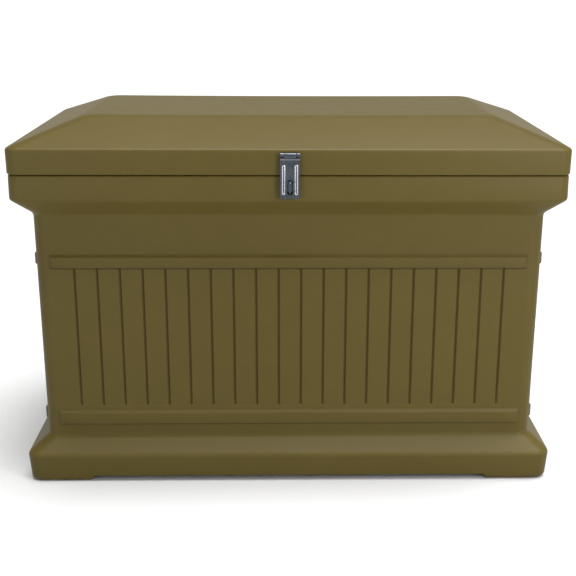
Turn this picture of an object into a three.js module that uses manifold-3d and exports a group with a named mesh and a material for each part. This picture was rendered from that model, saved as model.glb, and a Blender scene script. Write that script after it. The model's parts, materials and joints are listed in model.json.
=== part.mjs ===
// Parcel drop box: a moulded polyethylene chest with a hipped lid, butt hinges, slotted lid stays and a
// safety hasp. Millimetres, +Z up, +X to the right seen from the front, the front faces -Y.
// The origin is on the floor, under the centre of the closed chest's bounding box.

import * as THREE from 'three';
import { LoftGeometry } from 'three/addons/geometries/LoftGeometry.js';
import { mergeVertices } from 'three/addons/utils/BufferGeometryUtils.js';
import Module from 'manifold-3d';

// ---- Driving sizes ----------------------------------------------------------------------------------

// Outline of the lid at its eave. Every inset below is measured inwards from this rectangle.
const LID_WIDTH = 1120;
const LID_DEPTH = 646;

// Heights above the floor.
const FOOT_HEIGHT = 12;
const PLINTH_EDGE_Z = 61;
const WALL_BOTTOM_Z = 90;
const WALL_TOP_Z = 575;
const RIM_BOTTOM_Z = 610;
const RIM_TOP_Z = 661;
const LID_BOTTOM_Z = 662.5;
const EAVE_Z = 713;
const LID_TOP_Z = 763;

// Insets of the outer faces.
const LID_BOTTOM_INSET = 0.5;
const EAVE_ROUNDING = 4;
const FLAT_TOP_INSET = 137;
const RIM_TOP_INSET = 2;
const RIM_BOTTOM_INSET = 1.5;
const WALL_TOP_INSET = 38;
const WALL_BOTTOM_INSET = 40.5;
const PLINTH_EDGE_INSET = 2;
const PLINTH_BOTTOM_INSET = 5;
const FOOT_BOTTOM_INSET = 6;

// Plan radii of the vertical corners.
const RIM_CORNER_RADIUS = 24;
const WALL_CORNER_RADIUS = 28;
const CORNER_STEPS = 5;

// Moulded skin, and the rain lip that stands up inside the lid.
const SKIN = 5;
const FLOOR_THICKNESS = 6;
const LIP_OUTER_INSET = 19;
const LIP_HEIGHT = 10;
const LIP_CORNER_RADIUS = 10;

// Raised rails and the vertical grooves between them.
const UPPER_RAIL_Z = [462, 492];
const LOWER_RAIL_Z = [118, 150];
const RAIL_PROUD = 5;
const RAIL_CHAMFER = 4;
const RAIL_END_MARGIN = 31;
const RAIL_ROOT_MARGIN = 1;
const GROOVE_PITCH = 46.5;
const GROOVE_BOTTOM_Z = 161;
const GROOVE_RADIUS = 3;
const GROOVE_SIDES = 6;
const FRONT_GROOVES = 20;
const SIDE_GROOVES = 10;

// Corner feet, seen from the front: their inner ends slant outwards towards the floor.
const FOOT_LENGTH = 134;
const FOOT_SLANT = 9;

// Clearance kept between pieces that touch, and the overlap of shapes that are joined into one piece.
const GAP = 0.3;
const OVERLAP = 1;

// Butt hinges on the back of the chest.
const HINGE_POSITIONS_X = { left: -380, centre: 0, right: 380 };
const HINGE_WIDTH = 76;
const KNUCKLE_COUNT = 5;
const KNUCKLE_GAP = 0.4;
const KNUCKLE_RADIUS = 5.5;
const HINGE_PIN_RADIUS = 2.5;
const HINGE_PIN_SPARE = 1;
const HINGE_LEAF_THICKNESS = 2.5;
const HINGE_LEAF_START = 6.2;
const HINGE_LEAF_REACH = 40;
const HINGE_SCREW_X = 24;
const HINGE_SCREW_Z = 24;
const HINGE_AXIS_Y = 329;
const HINGE_AXIS_Z = (RIM_TOP_Z + LID_BOTTOM_Z) / 2;

// Safety hasp on the front of the lid.
const HASP_WIDTH = 40;
const HASP_SHEET = 1.5;
const HASP_BARREL_RADIUS = 4.5;
const HASP_BARREL_GAP = 0.6;
const HASP_PIN_RADIUS = 2;
const HASP_AXIS_Z = 703;
const HASP_AXIS_Y = -(LID_DEPTH / 2 + GAP + HASP_BARREL_RADIUS);
const HASP_CENTRE_KNUCKLE = 24;
const HASP_LEAF_BOTTOM_Z = 617;
const HASP_LEAF_CORNER = 5;
const HASP_SLOT_HALF_WIDTH = 5.5;
const HASP_SLOT_Z = [625, 655];
const HASP_RIB_X = 12.5;
const HASP_RIB_HALF_WIDTH = 3.5;
const HASP_RIB_Z = [625, 686];
const HASP_RIB_PROUD = 1.2;
const HASP_FIXED_LEAF_BOTTOM_Z = 672;
const HASP_SCREW_X = 11;
const HASP_SCREW_Z = 682;
const HASP_SCREW_HEAD_HEIGHT = 1.2;

// Staple on the tub's rim, which passes through the hasp leaf's slot.
const STAPLE_Z = [627.5, 652.5];
const STAPLE_BAR = 4.5;
const STAPLE_NOSE_Y = -344;
const STAPLE_NOSE_RADIUS = 6;
const STAPLE_PLATE_HALF_WIDTH = 17;
const STAPLE_PLATE_Z = [622, 658];

// Backing plates and nuts behind the hasp and the staple.
const BACKING_THICKNESS = 2;
const BACKING_MARGIN = 2;
const NUT_RADIUS = 4;
const NUT_THICKNESS = 3.2;

// Slotted lid stays. Pivot and stud are equally far from the hinge axis, so a stay always turns half as
// far as the lid does.
const STAY_RADIUS = 180;
const STAY_PIVOT_ANGLE = THREE.MathUtils.degToRad(5);
const STAY_STUD_ANGLE = THREE.MathUtils.degToRad(42);
const LID_OPEN_ANGLE = THREE.MathUtils.degToRad(100);
const STAY_THICKNESS = 2.5;
const STAY_HALF_WIDTH = 11;
const STAY_PLANE_X = 502;
const STAY_STUD_RADIUS = 4;
const STAY_SLOT_HALF_WIDTH = 4.5;
const STAY_SLOT_SPARE = 0.6;
const STAY_PIVOT_RADIUS = 3;
const STAY_BRACKET_LENGTH = 30;
const STAY_BRACKET_REACH = 25;
const STAY_BRACKET_DROP = 11;
const STAY_EAR_GAP = 0.5;
const STAY_PLATE_HALF_LENGTH = 23;
const STAY_PLATE_HALF_WIDTH = 13;
const STAY_PLATE_SCREW_OFFSET = 15;
const STAY_RIVET_HEAD_HEIGHT = 2;
const STAY_STUD_HEAD_HEIGHT = 2.2;

// Fasteners.
const SCREW_RADIUS = 2;
const SCREW_HEAD_RADIUS = 4;
const SCREW_HEAD_HEIGHT = 2;
const SCREW_HOLE_RADIUS = 2.4;
const HINGE_SCREW_LENGTH = 12;
const HASP_SCREW_LENGTH = 14;
const STAPLE_SCREW_LENGTH = 14;
const STAY_SCREW_LENGTH = 5.5;
const STAY_HOLE_DEPTH = 3.2;

// Shape of the domed heads, as shares of the head's height and radius.
const HEAD_RIM_SHARE = 0.4;
const HEAD_CROWN_SHARE = 0.6;

// Facets of round shapes: whole turns, and curve steps of the extruded outlines.
const ROUND_SIDES = 16;
const SMALL_ROUND_SIDES = 10;
const CURVE_STEPS = 6;
const SMALL_CURVE_STEPS = 4;

const BROWN = 0x6f6237;
const ZINC = 0xa7adb3;

// ---- Sizes worked out from the driving sizes --------------------------------------------------------

const FRONT_Y = -LID_DEPTH / 2;
const BACK_Y = LID_DEPTH / 2;
const SLOPE = (LID_TOP_Z - EAVE_Z) / FLAT_TOP_INSET;
const SLOPE_ANGLE = Math.atan(SLOPE);
const SLOPE_SKIN = SKIN / Math.cos(SLOPE_ANGLE);
const WALL_TILT = Math.atan((WALL_BOTTOM_INSET - WALL_TOP_INSET) / (WALL_TOP_Z - WALL_BOTTOM_Z));
const LID_INNER_INSET = SKIN + LID_BOTTOM_INSET;
const LID_INNER_TOP_INSET = FLAT_TOP_INSET + (SLOPE_SKIN - SKIN) / SLOPE;
const HASP_FRONT_Y = HASP_AXIS_Y - HASP_BARREL_RADIUS;
const HASP_LEAF_TOP_Z = HASP_AXIS_Z - HASP_BARREL_RADIUS - HASP_BARREL_GAP;
const STAPLE_PLATE_BACK_Y = FRONT_Y + RIM_BOTTOM_INSET - GAP;
const STAPLE_PLATE_FRONT_Y = STAPLE_PLATE_BACK_Y - HASP_SHEET;
const HASP_FIXED_FRONT_Y = FRONT_Y - GAP - HASP_SHEET;
const LID_BACKING_Y = FRONT_Y + LID_INNER_INSET + GAP;
const RIM_BACKING_Y = FRONT_Y + RIM_TOP_INSET + SKIN + GAP;
const KNUCKLE_LENGTH = (HINGE_WIDTH - (KNUCKLE_COUNT - 1) * KNUCKLE_GAP) / KNUCKLE_COUNT;
const LID_LEAF_BACK_Y = BACK_Y + GAP;
const TUB_LEAF_BACK_Y = BACK_Y - RIM_BOTTOM_INSET + GAP;

const STAY_PIVOT = new THREE.Vector2(
  HINGE_AXIS_Y - STAY_RADIUS * Math.cos(STAY_PIVOT_ANGLE),
  HINGE_AXIS_Z + STAY_RADIUS * Math.sin(STAY_PIVOT_ANGLE),
);
const STAY_STUD = new THREE.Vector2(
  HINGE_AXIS_Y - STAY_RADIUS * Math.cos(STAY_STUD_ANGLE),
  HINGE_AXIS_Z - STAY_RADIUS * Math.sin(STAY_STUD_ANGLE),
);
const STAY_CLOSED_ANGLE = STAY_PIVOT_ANGLE + STAY_STUD_ANGLE;
const STAY_OPENED_ANGLE = STAY_CLOSED_ANGLE + LID_OPEN_ANGLE;
const STAY_SLOT_START = 2 * STAY_RADIUS * Math.sin(STAY_CLOSED_ANGLE / 2) - STAY_SLOT_SPARE;
const STAY_SLOT_END = 2 * STAY_RADIUS * Math.sin(STAY_OPENED_ANGLE / 2) + STAY_SLOT_SPARE;
const STAY_LENGTH = STAY_SLOT_END + STAY_HALF_WIDTH;
const STAY_EAR_X = STAY_PLANE_X - STAY_EAR_GAP;
const STUD_INNER_WALL_X = LID_WIDTH / 2 - wallInset(STAY_STUD.y) - SKIN;
const STUD_PLATE_X = STUD_INNER_WALL_X - GAP;

// The hasp stands further out than the hinges do, and this brings the bounding box back to the origin.
const CENTRE_SHIFT_Y = -(STAPLE_NOSE_Y + HINGE_AXIS_Y + KNUCKLE_RADIUS) / 2;

const X_AXIS = new THREE.Vector3(1, 0, 0);
const Y_AXIS = new THREE.Vector3(0, 1, 0);
const Z_AXIS = new THREE.Vector3(0, 0, 1);
const FRONTWARDS = new THREE.Vector3(0, -1, 0);

// ---- Solids -----------------------------------------------------------------------------------------

const manifold = await Module();
manifold.setup();

function solidOf(geometry) {
  const bare = new THREE.BufferGeometry().copy(geometry);
  bare.deleteAttribute('normal');
  bare.deleteAttribute('uv');
  const merged = mergeVertices(bare);
  return new manifold.Manifold(new manifold.Mesh({
    numProp: 3,
    vertProperties: Float32Array.from(merged.attributes.position.array),
    triVerts: Uint32Array.from(merged.index.array),
  }));
}

function geometryOf(solid) {
  const mesh = solid.getMesh();
  const geometry = new THREE.BufferGeometry();
  geometry.setAttribute('position', new THREE.BufferAttribute(Float32Array.from(mesh.vertProperties), 3));
  geometry.setIndex(new THREE.BufferAttribute(Uint32Array.from(mesh.triVerts), 1));
  geometry.computeVertexNormals();
  return geometry;
}

function joined(geometries) {
  return geometries.map(solidOf).reduce((whole, next) => whole.add(next));
}

function cut(solid, cutters) {
  return cutters.map(solidOf).reduce((whole, next) => whole.subtract(next), solid);
}

// ---- Shapes -----------------------------------------------------------------------------------------

function boxBetween(low, high) {
  const size = new THREE.Vector3().subVectors(high, low);
  const geometry = new THREE.BoxGeometry(size.x, size.y, size.z);
  return geometry.translate((low.x + high.x) / 2, (low.y + high.y) / 2, (low.z + high.z) / 2);
}

function boxOf(x0, x1, y0, y1, z0, z1) {
  return boxBetween(new THREE.Vector3(x0, y0, z0), new THREE.Vector3(x1, y1, z1));
}

// A cylinder centred on a point, with its axis along a direction.
function roundBar(centre, direction, radius, length, sides = ROUND_SIDES) {
  const geometry = new THREE.CylinderGeometry(radius, radius, length, sides);
  geometry.applyQuaternion(new THREE.Quaternion().setFromUnitVectors(Y_AXIS, direction));
  return geometry.translate(centre.x, centre.y, centre.z);
}

// Extrudes an outline drawn in Y and Z along +X, starting at a given X.
function extrudedAlongX(shape, startX, length, curveSegments = CURVE_STEPS) {
  const geometry = new THREE.ExtrudeGeometry(shape, { depth: length, bevelEnabled: false, curveSegments });
  geometry.applyMatrix4(new THREE.Matrix4().makeBasis(Y_AXIS, Z_AXIS, X_AXIS));
  return geometry.translate(startX, 0, 0);
}

// Extrudes an outline drawn in X and Z towards the front, starting at a given Y.
function extrudedFrontwards(shape, startY, length, curveSegments = CURVE_STEPS) {
  const geometry = new THREE.ExtrudeGeometry(shape, { depth: length, bevelEnabled: false, curveSegments });
  geometry.applyMatrix4(new THREE.Matrix4().makeBasis(X_AXIS, Z_AXIS, FRONTWARDS));
  return geometry.translate(0, startY, 0);
}

function polygon(points) {
  return new THREE.Shape(points.map(([u, v]) => new THREE.Vector2(u, v)));
}

// An upright outline with half-round ends.
function stadium(centreU, halfWidth, lowV, highV) {
  const shape = new THREE.Shape();
  shape.absarc(centreU, lowV + halfWidth, halfWidth, Math.PI, 2 * Math.PI);
  shape.absarc(centreU, highV - halfWidth, halfWidth, 0, Math.PI);
  return shape;
}

// A horizontal section of the chest: a rectangle with round corners, anticlockwise from above.
function section(inset, radius, z) {
  const centreX = LID_WIDTH / 2 - inset - radius;
  const centreY = LID_DEPTH / 2 - inset - radius;
  const points = [];
  for (let corner = 0; corner < 4; corner++) {
    const signX = corner === 0 || corner === 3 ? 1 : -1;
    const signY = corner < 2 ? 1 : -1;
    for (let step = 0; step <= CORNER_STEPS; step++) {
      const angle = (corner + step / CORNER_STEPS) * Math.PI / 2;
      points.push(new THREE.Vector3(
        signX * centreX + radius * Math.cos(angle),
        signY * centreY + radius * Math.sin(angle),
        z,
      ));
    }
  }
  return points;
}

function loft(sections) {
  return new LoftGeometry(sections, { capStart: true, capEnd: true });
}

// Inset of the drafted wall's outer face at a height.
function wallInset(z) {
  const share = (WALL_TOP_Z - z) / (WALL_TOP_Z - WALL_BOTTOM_Z);
  return WALL_TOP_INSET + (WALL_BOTTOM_INSET - WALL_TOP_INSET) * share;
}

// ---- Tub --------------------------------------------------------------------------------------------

// Distance from the centre of the chest to the lid's outline on a side: 0 front, 1 right, 2 back, 3 left.
function reachOfSide(side) {
  return (side % 2 === 0 ? LID_DEPTH : LID_WIDTH) / 2;
}

function halfLengthOfSide(side) {
  return (side % 2 === 0 ? LID_WIDTH : LID_DEPTH) / 2;
}

// Turns a shape made for the front wall to another wall.
function ontoSide(geometry, side) {
  return geometry.rotateZ(side * Math.PI / 2);
}

function rail(side, [lowZ, highZ]) {
  const wallY = -(reachOfSide(side) - wallInset((lowZ + highZ) / 2));
  const halfLength = halfLengthOfSide(side) - WALL_TOP_INSET - RAIL_END_MARGIN;
  const rootY = wallY + SKIN - RAIL_ROOT_MARGIN;
  const profile = polygon([
    [rootY, lowZ],
    [wallY, lowZ],
    [wallY - RAIL_PROUD, lowZ + RAIL_CHAMFER],
    [wallY - RAIL_PROUD, highZ - RAIL_CHAMFER],
    [wallY, highZ],
    [rootY, highZ],
  ].reverse());
  return ontoSide(extrudedAlongX(profile, -halfLength, 2 * halfLength), side);
}

function groovesOfSide(side) {
  const count = side % 2 === 0 ? FRONT_GROOVES : SIDE_GROOVES;
  const topZ = UPPER_RAIL_Z[0] + RAIL_CHAMFER;
  const middleZ = (GROOVE_BOTTOM_Z + topZ) / 2;
  const wallY = -(reachOfSide(side) - wallInset(middleZ));
  const grooves = [];
  for (let index = 0; index < count; index++) {
    const groove = new THREE.CylinderGeometry(
      GROOVE_RADIUS, GROOVE_RADIUS, topZ - GROOVE_BOTTOM_Z, GROOVE_SIDES,
    );
    groove.rotateX(Math.PI / 2 + WALL_TILT);
    groove.translate((index - (count - 1) / 2) * GROOVE_PITCH, wallY, middleZ);
    grooves.push(ontoSide(groove, side));
  }
  return grooves;
}

// The two channels under the plinth that leave a foot at each corner.
function channelsBetweenFeet() {
  return [0, 1].map((side) => {
    const bottomHalf = halfLengthOfSide(side) - FOOT_BOTTOM_INSET - FOOT_LENGTH + FOOT_SLANT / 2;
    const topHalf = bottomHalf - FOOT_SLANT;
    const outline = polygon([
      [-bottomHalf - FOOT_SLANT, -FOOT_HEIGHT],
      [bottomHalf + FOOT_SLANT, -FOOT_HEIGHT],
      [topHalf, FOOT_HEIGHT],
      [-topHalf, FOOT_HEIGHT],
    ]);
    const length = LID_WIDTH + 2 * SKIN;
    return ontoSide(extrudedFrontwards(outline, length / 2, length), side);
  });
}

function tubShell() {
  const outside = loft([
    section(FOOT_BOTTOM_INSET, WALL_CORNER_RADIUS, 0),
    section(PLINTH_BOTTOM_INSET, WALL_CORNER_RADIUS, FOOT_HEIGHT),
    section(PLINTH_EDGE_INSET, WALL_CORNER_RADIUS, PLINTH_EDGE_Z),
    section(WALL_BOTTOM_INSET, WALL_CORNER_RADIUS, WALL_BOTTOM_Z),
    section(WALL_TOP_INSET, WALL_CORNER_RADIUS, WALL_TOP_Z),
    section(RIM_BOTTOM_INSET, RIM_CORNER_RADIUS, RIM_BOTTOM_Z),
    section(RIM_TOP_INSET, RIM_CORNER_RADIUS, RIM_TOP_Z),
    section(LIP_OUTER_INSET, LIP_CORNER_RADIUS, RIM_TOP_Z),
    section(LIP_OUTER_INSET, LIP_CORNER_RADIUS, RIM_TOP_Z + LIP_HEIGHT),
  ]);
  const wallInner = WALL_CORNER_RADIUS - SKIN;
  const rimInner = RIM_CORNER_RADIUS - SKIN;
  const lipInner = LIP_CORNER_RADIUS - SKIN;
  const inside = loft([
    section(PLINTH_BOTTOM_INSET + SKIN, wallInner, FOOT_HEIGHT + FLOOR_THICKNESS),
    section(PLINTH_EDGE_INSET + SKIN, wallInner, PLINTH_EDGE_Z - SKIN / 2),
    section(WALL_BOTTOM_INSET + SKIN, wallInner, WALL_BOTTOM_Z + SKIN / 2),
    section(WALL_TOP_INSET + SKIN, wallInner, WALL_TOP_Z - SKIN / 2),
    section(RIM_BOTTOM_INSET + SKIN, rimInner, RIM_BOTTOM_Z + SKIN / 2),
    section(RIM_TOP_INSET + SKIN, rimInner, RIM_TOP_Z - SKIN),
    section(LIP_OUTER_INSET + SKIN, lipInner, RIM_TOP_Z - SKIN),
    section(LIP_OUTER_INSET + SKIN, lipInner, RIM_TOP_Z + 2 * LIP_HEIGHT),
  ]);
  return cut(solidOf(outside), [inside]);
}

// Blind or through holes for the fasteners, all along X or Y.
function tubHoles() {
  const rimHole = (x, z, sign) => roundBar(
    new THREE.Vector3(x, sign * (LID_DEPTH / 2 - SKIN / 2), z),
    Y_AXIS, SCREW_HOLE_RADIUS, 2 * SKIN, SMALL_ROUND_SIDES,
  );
  const holes = [];
  for (const hingeX of Object.values(HINGE_POSITIONS_X)) {
    for (const offset of [-HINGE_SCREW_X, HINGE_SCREW_X]) {
      holes.push(rimHole(hingeX + offset, HINGE_AXIS_Z - HINGE_SCREW_Z, 1));
    }
  }
  for (const x of [-HASP_SCREW_X, HASP_SCREW_X]) {
    holes.push(rimHole(x, (STAPLE_Z[0] + STAPLE_Z[1]) / 2, -1));
  }
  for (const sideX of [-1, 1]) {
    for (const offset of [-STAY_PLATE_SCREW_OFFSET, 0, STAY_PLATE_SCREW_OFFSET]) {
      const centre = new THREE.Vector3(
        sideX * STUD_INNER_WALL_X, STAY_STUD.x, STAY_STUD.y + offset,
      );
      holes.push(roundBar(centre, X_AXIS, SCREW_HOLE_RADIUS, 2 * STAY_HOLE_DEPTH, SMALL_ROUND_SIDES));
    }
  }
  return holes;
}

function tubGeometry() {
  const sides = [0, 1, 2, 3];
  const grooved = cut(tubShell(), [...channelsBetweenFeet(), ...sides.flatMap(groovesOfSide)]);
  const rails = sides.flatMap((side) => [rail(side, UPPER_RAIL_Z), rail(side, LOWER_RAIL_Z)]);
  const railed = rails.map(solidOf).reduce((whole, next) => whole.add(next), grooved);
  return geometryOf(cut(railed, tubHoles()));
}

// ---- Lid --------------------------------------------------------------------------------------------

// Height of the lid's sloping underside at an inset from the eave.
function slopeUnderside(inset) {
  return EAVE_Z + SLOPE * inset - SLOPE_SKIN;
}

function lidShell() {
  const outside = loft([
    section(LID_BOTTOM_INSET, RIM_CORNER_RADIUS, LID_BOTTOM_Z),
    section(0, RIM_CORNER_RADIUS, EAVE_Z - EAVE_ROUNDING),
    section(EAVE_ROUNDING, RIM_CORNER_RADIUS, EAVE_Z + SLOPE * EAVE_ROUNDING),
    section(FLAT_TOP_INSET, RIM_CORNER_RADIUS, LID_TOP_Z),
  ]);
  const innerRadius = RIM_CORNER_RADIUS - SKIN;
  const inside = loft([
    section(LID_INNER_INSET, innerRadius, LID_BOTTOM_Z - SKIN),
    section(LID_INNER_INSET, innerRadius, slopeUnderside(LID_INNER_INSET)),
    section(LID_INNER_TOP_INSET, innerRadius, LID_TOP_Z - SKIN),
  ]);
  return cut(solidOf(outside), [inside]);
}

// Where the lid bracket's two screws enter the sloping underside, on the side at sideX.
function bracketScrewPlaces(sideX) {
  const inset = LID_WIDTH / 2 - STAY_EAR_X + STAY_BRACKET_REACH / 2;
  return [-1, 1].map((sign) => new THREE.Vector3(
    sideX * (LID_WIDTH / 2 - inset),
    STAY_PIVOT.x + sign * STAY_BRACKET_LENGTH / 4,
    slopeUnderside(inset),
  ));
}

// Downward normal of the sloping underside, on the side at sideX.
function undersideNormal(sideX) {
  return new THREE.Vector3(-sideX * Math.sin(SLOPE_ANGLE), 0, -Math.cos(SLOPE_ANGLE));
}

function lidHoles() {
  const bandHole = (x, z, sign) => roundBar(
    new THREE.Vector3(x, sign * (LID_DEPTH / 2 - SKIN / 2), z),
    Y_AXIS, SCREW_HOLE_RADIUS, 2 * SKIN, SMALL_ROUND_SIDES,
  );
  const holes = [];
  for (const hingeX of Object.values(HINGE_POSITIONS_X)) {
    for (const offset of [-HINGE_SCREW_X, HINGE_SCREW_X]) {
      holes.push(bandHole(hingeX + offset, HINGE_AXIS_Z + HINGE_SCREW_Z, 1));
    }
  }
  for (const x of [-HASP_SCREW_X, HASP_SCREW_X]) {
    holes.push(bandHole(x, HASP_SCREW_Z, -1));
  }
  for (const sideX of [-1, 1]) {
    for (const place of bracketScrewPlaces(sideX)) {
      const direction = undersideNormal(sideX);
      holes.push(roundBar(place, direction, SCREW_HOLE_RADIUS, 2 * STAY_HOLE_DEPTH, SMALL_ROUND_SIDES));
    }
  }
  return holes;
}

function lidGeometry() {
  return geometryOf(cut(lidShell(), lidHoles()));
}

// ---- Fasteners --------------------------------------------------------------------------------------

// A turned piece on the local Y axis, from [radius, height] points that run upwards.
function turned(points, sides = SMALL_ROUND_SIDES) {
  const profile = points.map(([radius, height]) => new THREE.Vector2(radius, height));
  return new THREE.LatheGeometry(profile, sides);
}

// Pan-head screw: the underside of its head is at the local origin, its head towards local +Y.
function screwGeometry(length, headHeight = SCREW_HEAD_HEIGHT) {
  const headRadius = SCREW_HEAD_RADIUS;
  return turned([
    [0, -length],
    [SCREW_RADIUS, SCREW_RADIUS - length],
    [SCREW_RADIUS, 0],
    [headRadius, 0],
    [headRadius, HEAD_RIM_SHARE * headHeight],
    [HEAD_CROWN_SHARE * headRadius, headHeight],
    [0, headHeight],
  ]);
}

function hexNutGeometry(startY) {
  const corners = [0, 1, 2, 3, 4, 5].map((corner) => {
    const angle = corner * Math.PI / 3;
    return [NUT_RADIUS * Math.cos(angle), NUT_RADIUS * Math.sin(angle)];
  });
  const outline = polygon(corners);
  outline.holes.push(new THREE.Path().absarc(0, 0, SCREW_HOLE_RADIUS, 0, 2 * Math.PI, true));
  return extrudedFrontwards(outline, startY, NUT_THICKNESS, SMALL_ROUND_SIDES / 2);
}

// ---- Hinges -----------------------------------------------------------------------------------------

// A hinge leaf around the hinge axis at the local origin. direction is 1 for the lid's leaf, which rises
// from the axis, and -1 for the tub's leaf, which hangs below it.
function hingeLeafGeometry(direction) {
  const backY = (direction > 0 ? LID_LEAF_BACK_Y : TUB_LEAF_BACK_Y) - HINGE_AXIS_Y;
  const frontY = backY + HINGE_LEAF_THICKNESS;
  const spanZ = (near, far) => (direction > 0 ? [near, far] : [-far, -near]);
  const half = HINGE_WIDTH / 2;
  const pieces = [boxOf(-half, half, backY, frontY, ...spanZ(HINGE_LEAF_START, HINGE_LEAF_REACH))];
  for (let index = direction > 0 ? 1 : 0; index < KNUCKLE_COUNT; index += 2) {
    const startX = -half + index * (KNUCKLE_LENGTH + KNUCKLE_GAP);
    const endX = startX + KNUCKLE_LENGTH;
    const centre = new THREE.Vector3((startX + endX) / 2, 0, 0);
    pieces.push(roundBar(centre, X_AXIS, KNUCKLE_RADIUS, KNUCKLE_LENGTH));
    const strapZ = spanZ(HINGE_PIN_RADIUS, HINGE_LEAF_START + OVERLAP);
    pieces.push(boxOf(startX, endX, backY, -HINGE_PIN_RADIUS, ...strapZ));
  }
  const cutters = [roundBar(new THREE.Vector3(), X_AXIS, HINGE_PIN_RADIUS + GAP, 2 * HINGE_WIDTH)];
  for (const x of [-HINGE_SCREW_X, HINGE_SCREW_X]) {
    const centre = new THREE.Vector3(x, (backY + frontY) / 2, direction * HINGE_SCREW_Z);
    cutters.push(roundBar(centre, Y_AXIS, SCREW_HOLE_RADIUS, 4 * HINGE_LEAF_THICKNESS, SMALL_ROUND_SIDES));
  }
  return geometryOf(cut(joined(pieces), cutters));
}

// ---- Hasp -------------------------------------------------------------------------------------------

function haspKnuckle(startX, endX) {
  const centre = new THREE.Vector3((startX + endX) / 2, HASP_AXIS_Y, HASP_AXIS_Z);
  return roundBar(centre, X_AXIS, HASP_BARREL_RADIUS, endX - startX);
}

function haspBore() {
  const centre = new THREE.Vector3(0, HASP_AXIS_Y, HASP_AXIS_Z);
  return roundBar(centre, X_AXIS, HASP_PIN_RADIUS + GAP, 2 * HASP_WIDTH);
}

function haspFixedLeafGeometry() {
  const half = HASP_WIDTH / 2;
  const innerX = HASP_CENTRE_KNUCKLE / 2 + KNUCKLE_GAP;
  const backY = FRONT_Y - GAP;
  const pieces = [boxOf(-half, half, HASP_FIXED_FRONT_Y, backY, HASP_FIXED_LEAF_BOTTOM_Z, HASP_LEAF_TOP_Z)];
  for (const [startX, endX] of [[-half, -innerX], [innerX, half]]) {
    pieces.push(haspKnuckle(startX, endX));
    pieces.push(boxOf(startX, endX, HASP_FIXED_FRONT_Y, backY, HASP_LEAF_TOP_Z - OVERLAP, HASP_AXIS_Z));
  }
  const cutters = [haspBore()];
  for (const x of [-HASP_SCREW_X, HASP_SCREW_X]) {
    const centre = new THREE.Vector3(x, backY, HASP_SCREW_Z);
    cutters.push(roundBar(centre, Y_AXIS, SCREW_HOLE_RADIUS, 4 * HASP_SHEET, SMALL_ROUND_SIDES));
  }
  return geometryOf(cut(joined(pieces), cutters));
}

function haspSwingLeafGeometry() {
  const half = HASP_WIDTH / 2;
  const corner = HASP_LEAF_CORNER;
  const outline = new THREE.Shape();
  outline.moveTo(half, HASP_LEAF_TOP_Z);
  outline.lineTo(-half, HASP_LEAF_TOP_Z);
  outline.absarc(-half + corner, HASP_LEAF_BOTTOM_Z + corner, corner, Math.PI, 1.5 * Math.PI);
  outline.absarc(half - corner, HASP_LEAF_BOTTOM_Z + corner, corner, 1.5 * Math.PI, 2 * Math.PI);
  outline.holes.push(stadium(0, HASP_SLOT_HALF_WIDTH, ...HASP_SLOT_Z));
  const backY = HASP_FRONT_Y + HASP_SHEET;
  const halfKnuckle = HASP_CENTRE_KNUCKLE / 2;
  const pieces = [
    extrudedFrontwards(outline, backY, HASP_SHEET),
    haspKnuckle(-halfKnuckle, halfKnuckle),
    boxOf(-halfKnuckle, halfKnuckle, HASP_FRONT_Y, backY, HASP_LEAF_TOP_Z - OVERLAP, HASP_AXIS_Z),
  ];
  for (const x of [-HASP_RIB_X, HASP_RIB_X]) {
    const rib = stadium(x, HASP_RIB_HALF_WIDTH, ...HASP_RIB_Z);
    const ribDepth = HASP_SHEET / 2 + HASP_RIB_PROUD;
    pieces.push(extrudedFrontwards(rib, backY - HASP_SHEET / 2, ribDepth, SMALL_CURVE_STEPS));
  }
  return geometryOf(cut(joined(pieces), [haspBore()]));
}

// Staple: a plate with a rounded loop of flat bar that stands forward in the plane X = 0.
function stapleGeometry() {
  const [lowZ, highZ] = STAPLE_Z;
  const rootY = STAPLE_PLATE_FRONT_Y + HASP_SHEET / 2;
  const loopOutline = (bar, radius) => {
    const noseY = STAPLE_NOSE_Y + bar;
    const outline = new THREE.Shape();
    outline.moveTo(rootY + bar, highZ - bar);
    outline.lineTo(noseY + radius, highZ - bar);
    outline.absarc(noseY + radius, highZ - bar - radius, radius, 0.5 * Math.PI, Math.PI);
    outline.absarc(noseY + radius, lowZ + bar + radius, radius, Math.PI, 1.5 * Math.PI);
    outline.lineTo(rootY + bar, lowZ + bar);
    return outline;
  };
  const outside = loopOutline(0, STAPLE_NOSE_RADIUS);
  const inside = loopOutline(STAPLE_BAR, STAPLE_NOSE_RADIUS - STAPLE_BAR);
  const block = extrudedAlongX(outside, -STAPLE_BAR / 2, STAPLE_BAR, SMALL_CURVE_STEPS);
  const eye = extrudedAlongX(inside, -STAPLE_BAR, 2 * STAPLE_BAR, SMALL_CURVE_STEPS);
  const plate = boxOf(
    -STAPLE_PLATE_HALF_WIDTH, STAPLE_PLATE_HALF_WIDTH,
    STAPLE_PLATE_FRONT_Y, STAPLE_PLATE_BACK_Y, ...STAPLE_PLATE_Z,
  );
  const screwHoles = [-HASP_SCREW_X, HASP_SCREW_X].map((x) => roundBar(
    new THREE.Vector3(x, STAPLE_PLATE_BACK_Y, (lowZ + highZ) / 2),
    Y_AXIS, SCREW_HOLE_RADIUS, 4 * HASP_SHEET, SMALL_ROUND_SIDES,
  ));
  const loop = cut(solidOf(block), [eye]);
  return geometryOf(cut(solidOf(plate), screwHoles).add(loop));
}

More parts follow.
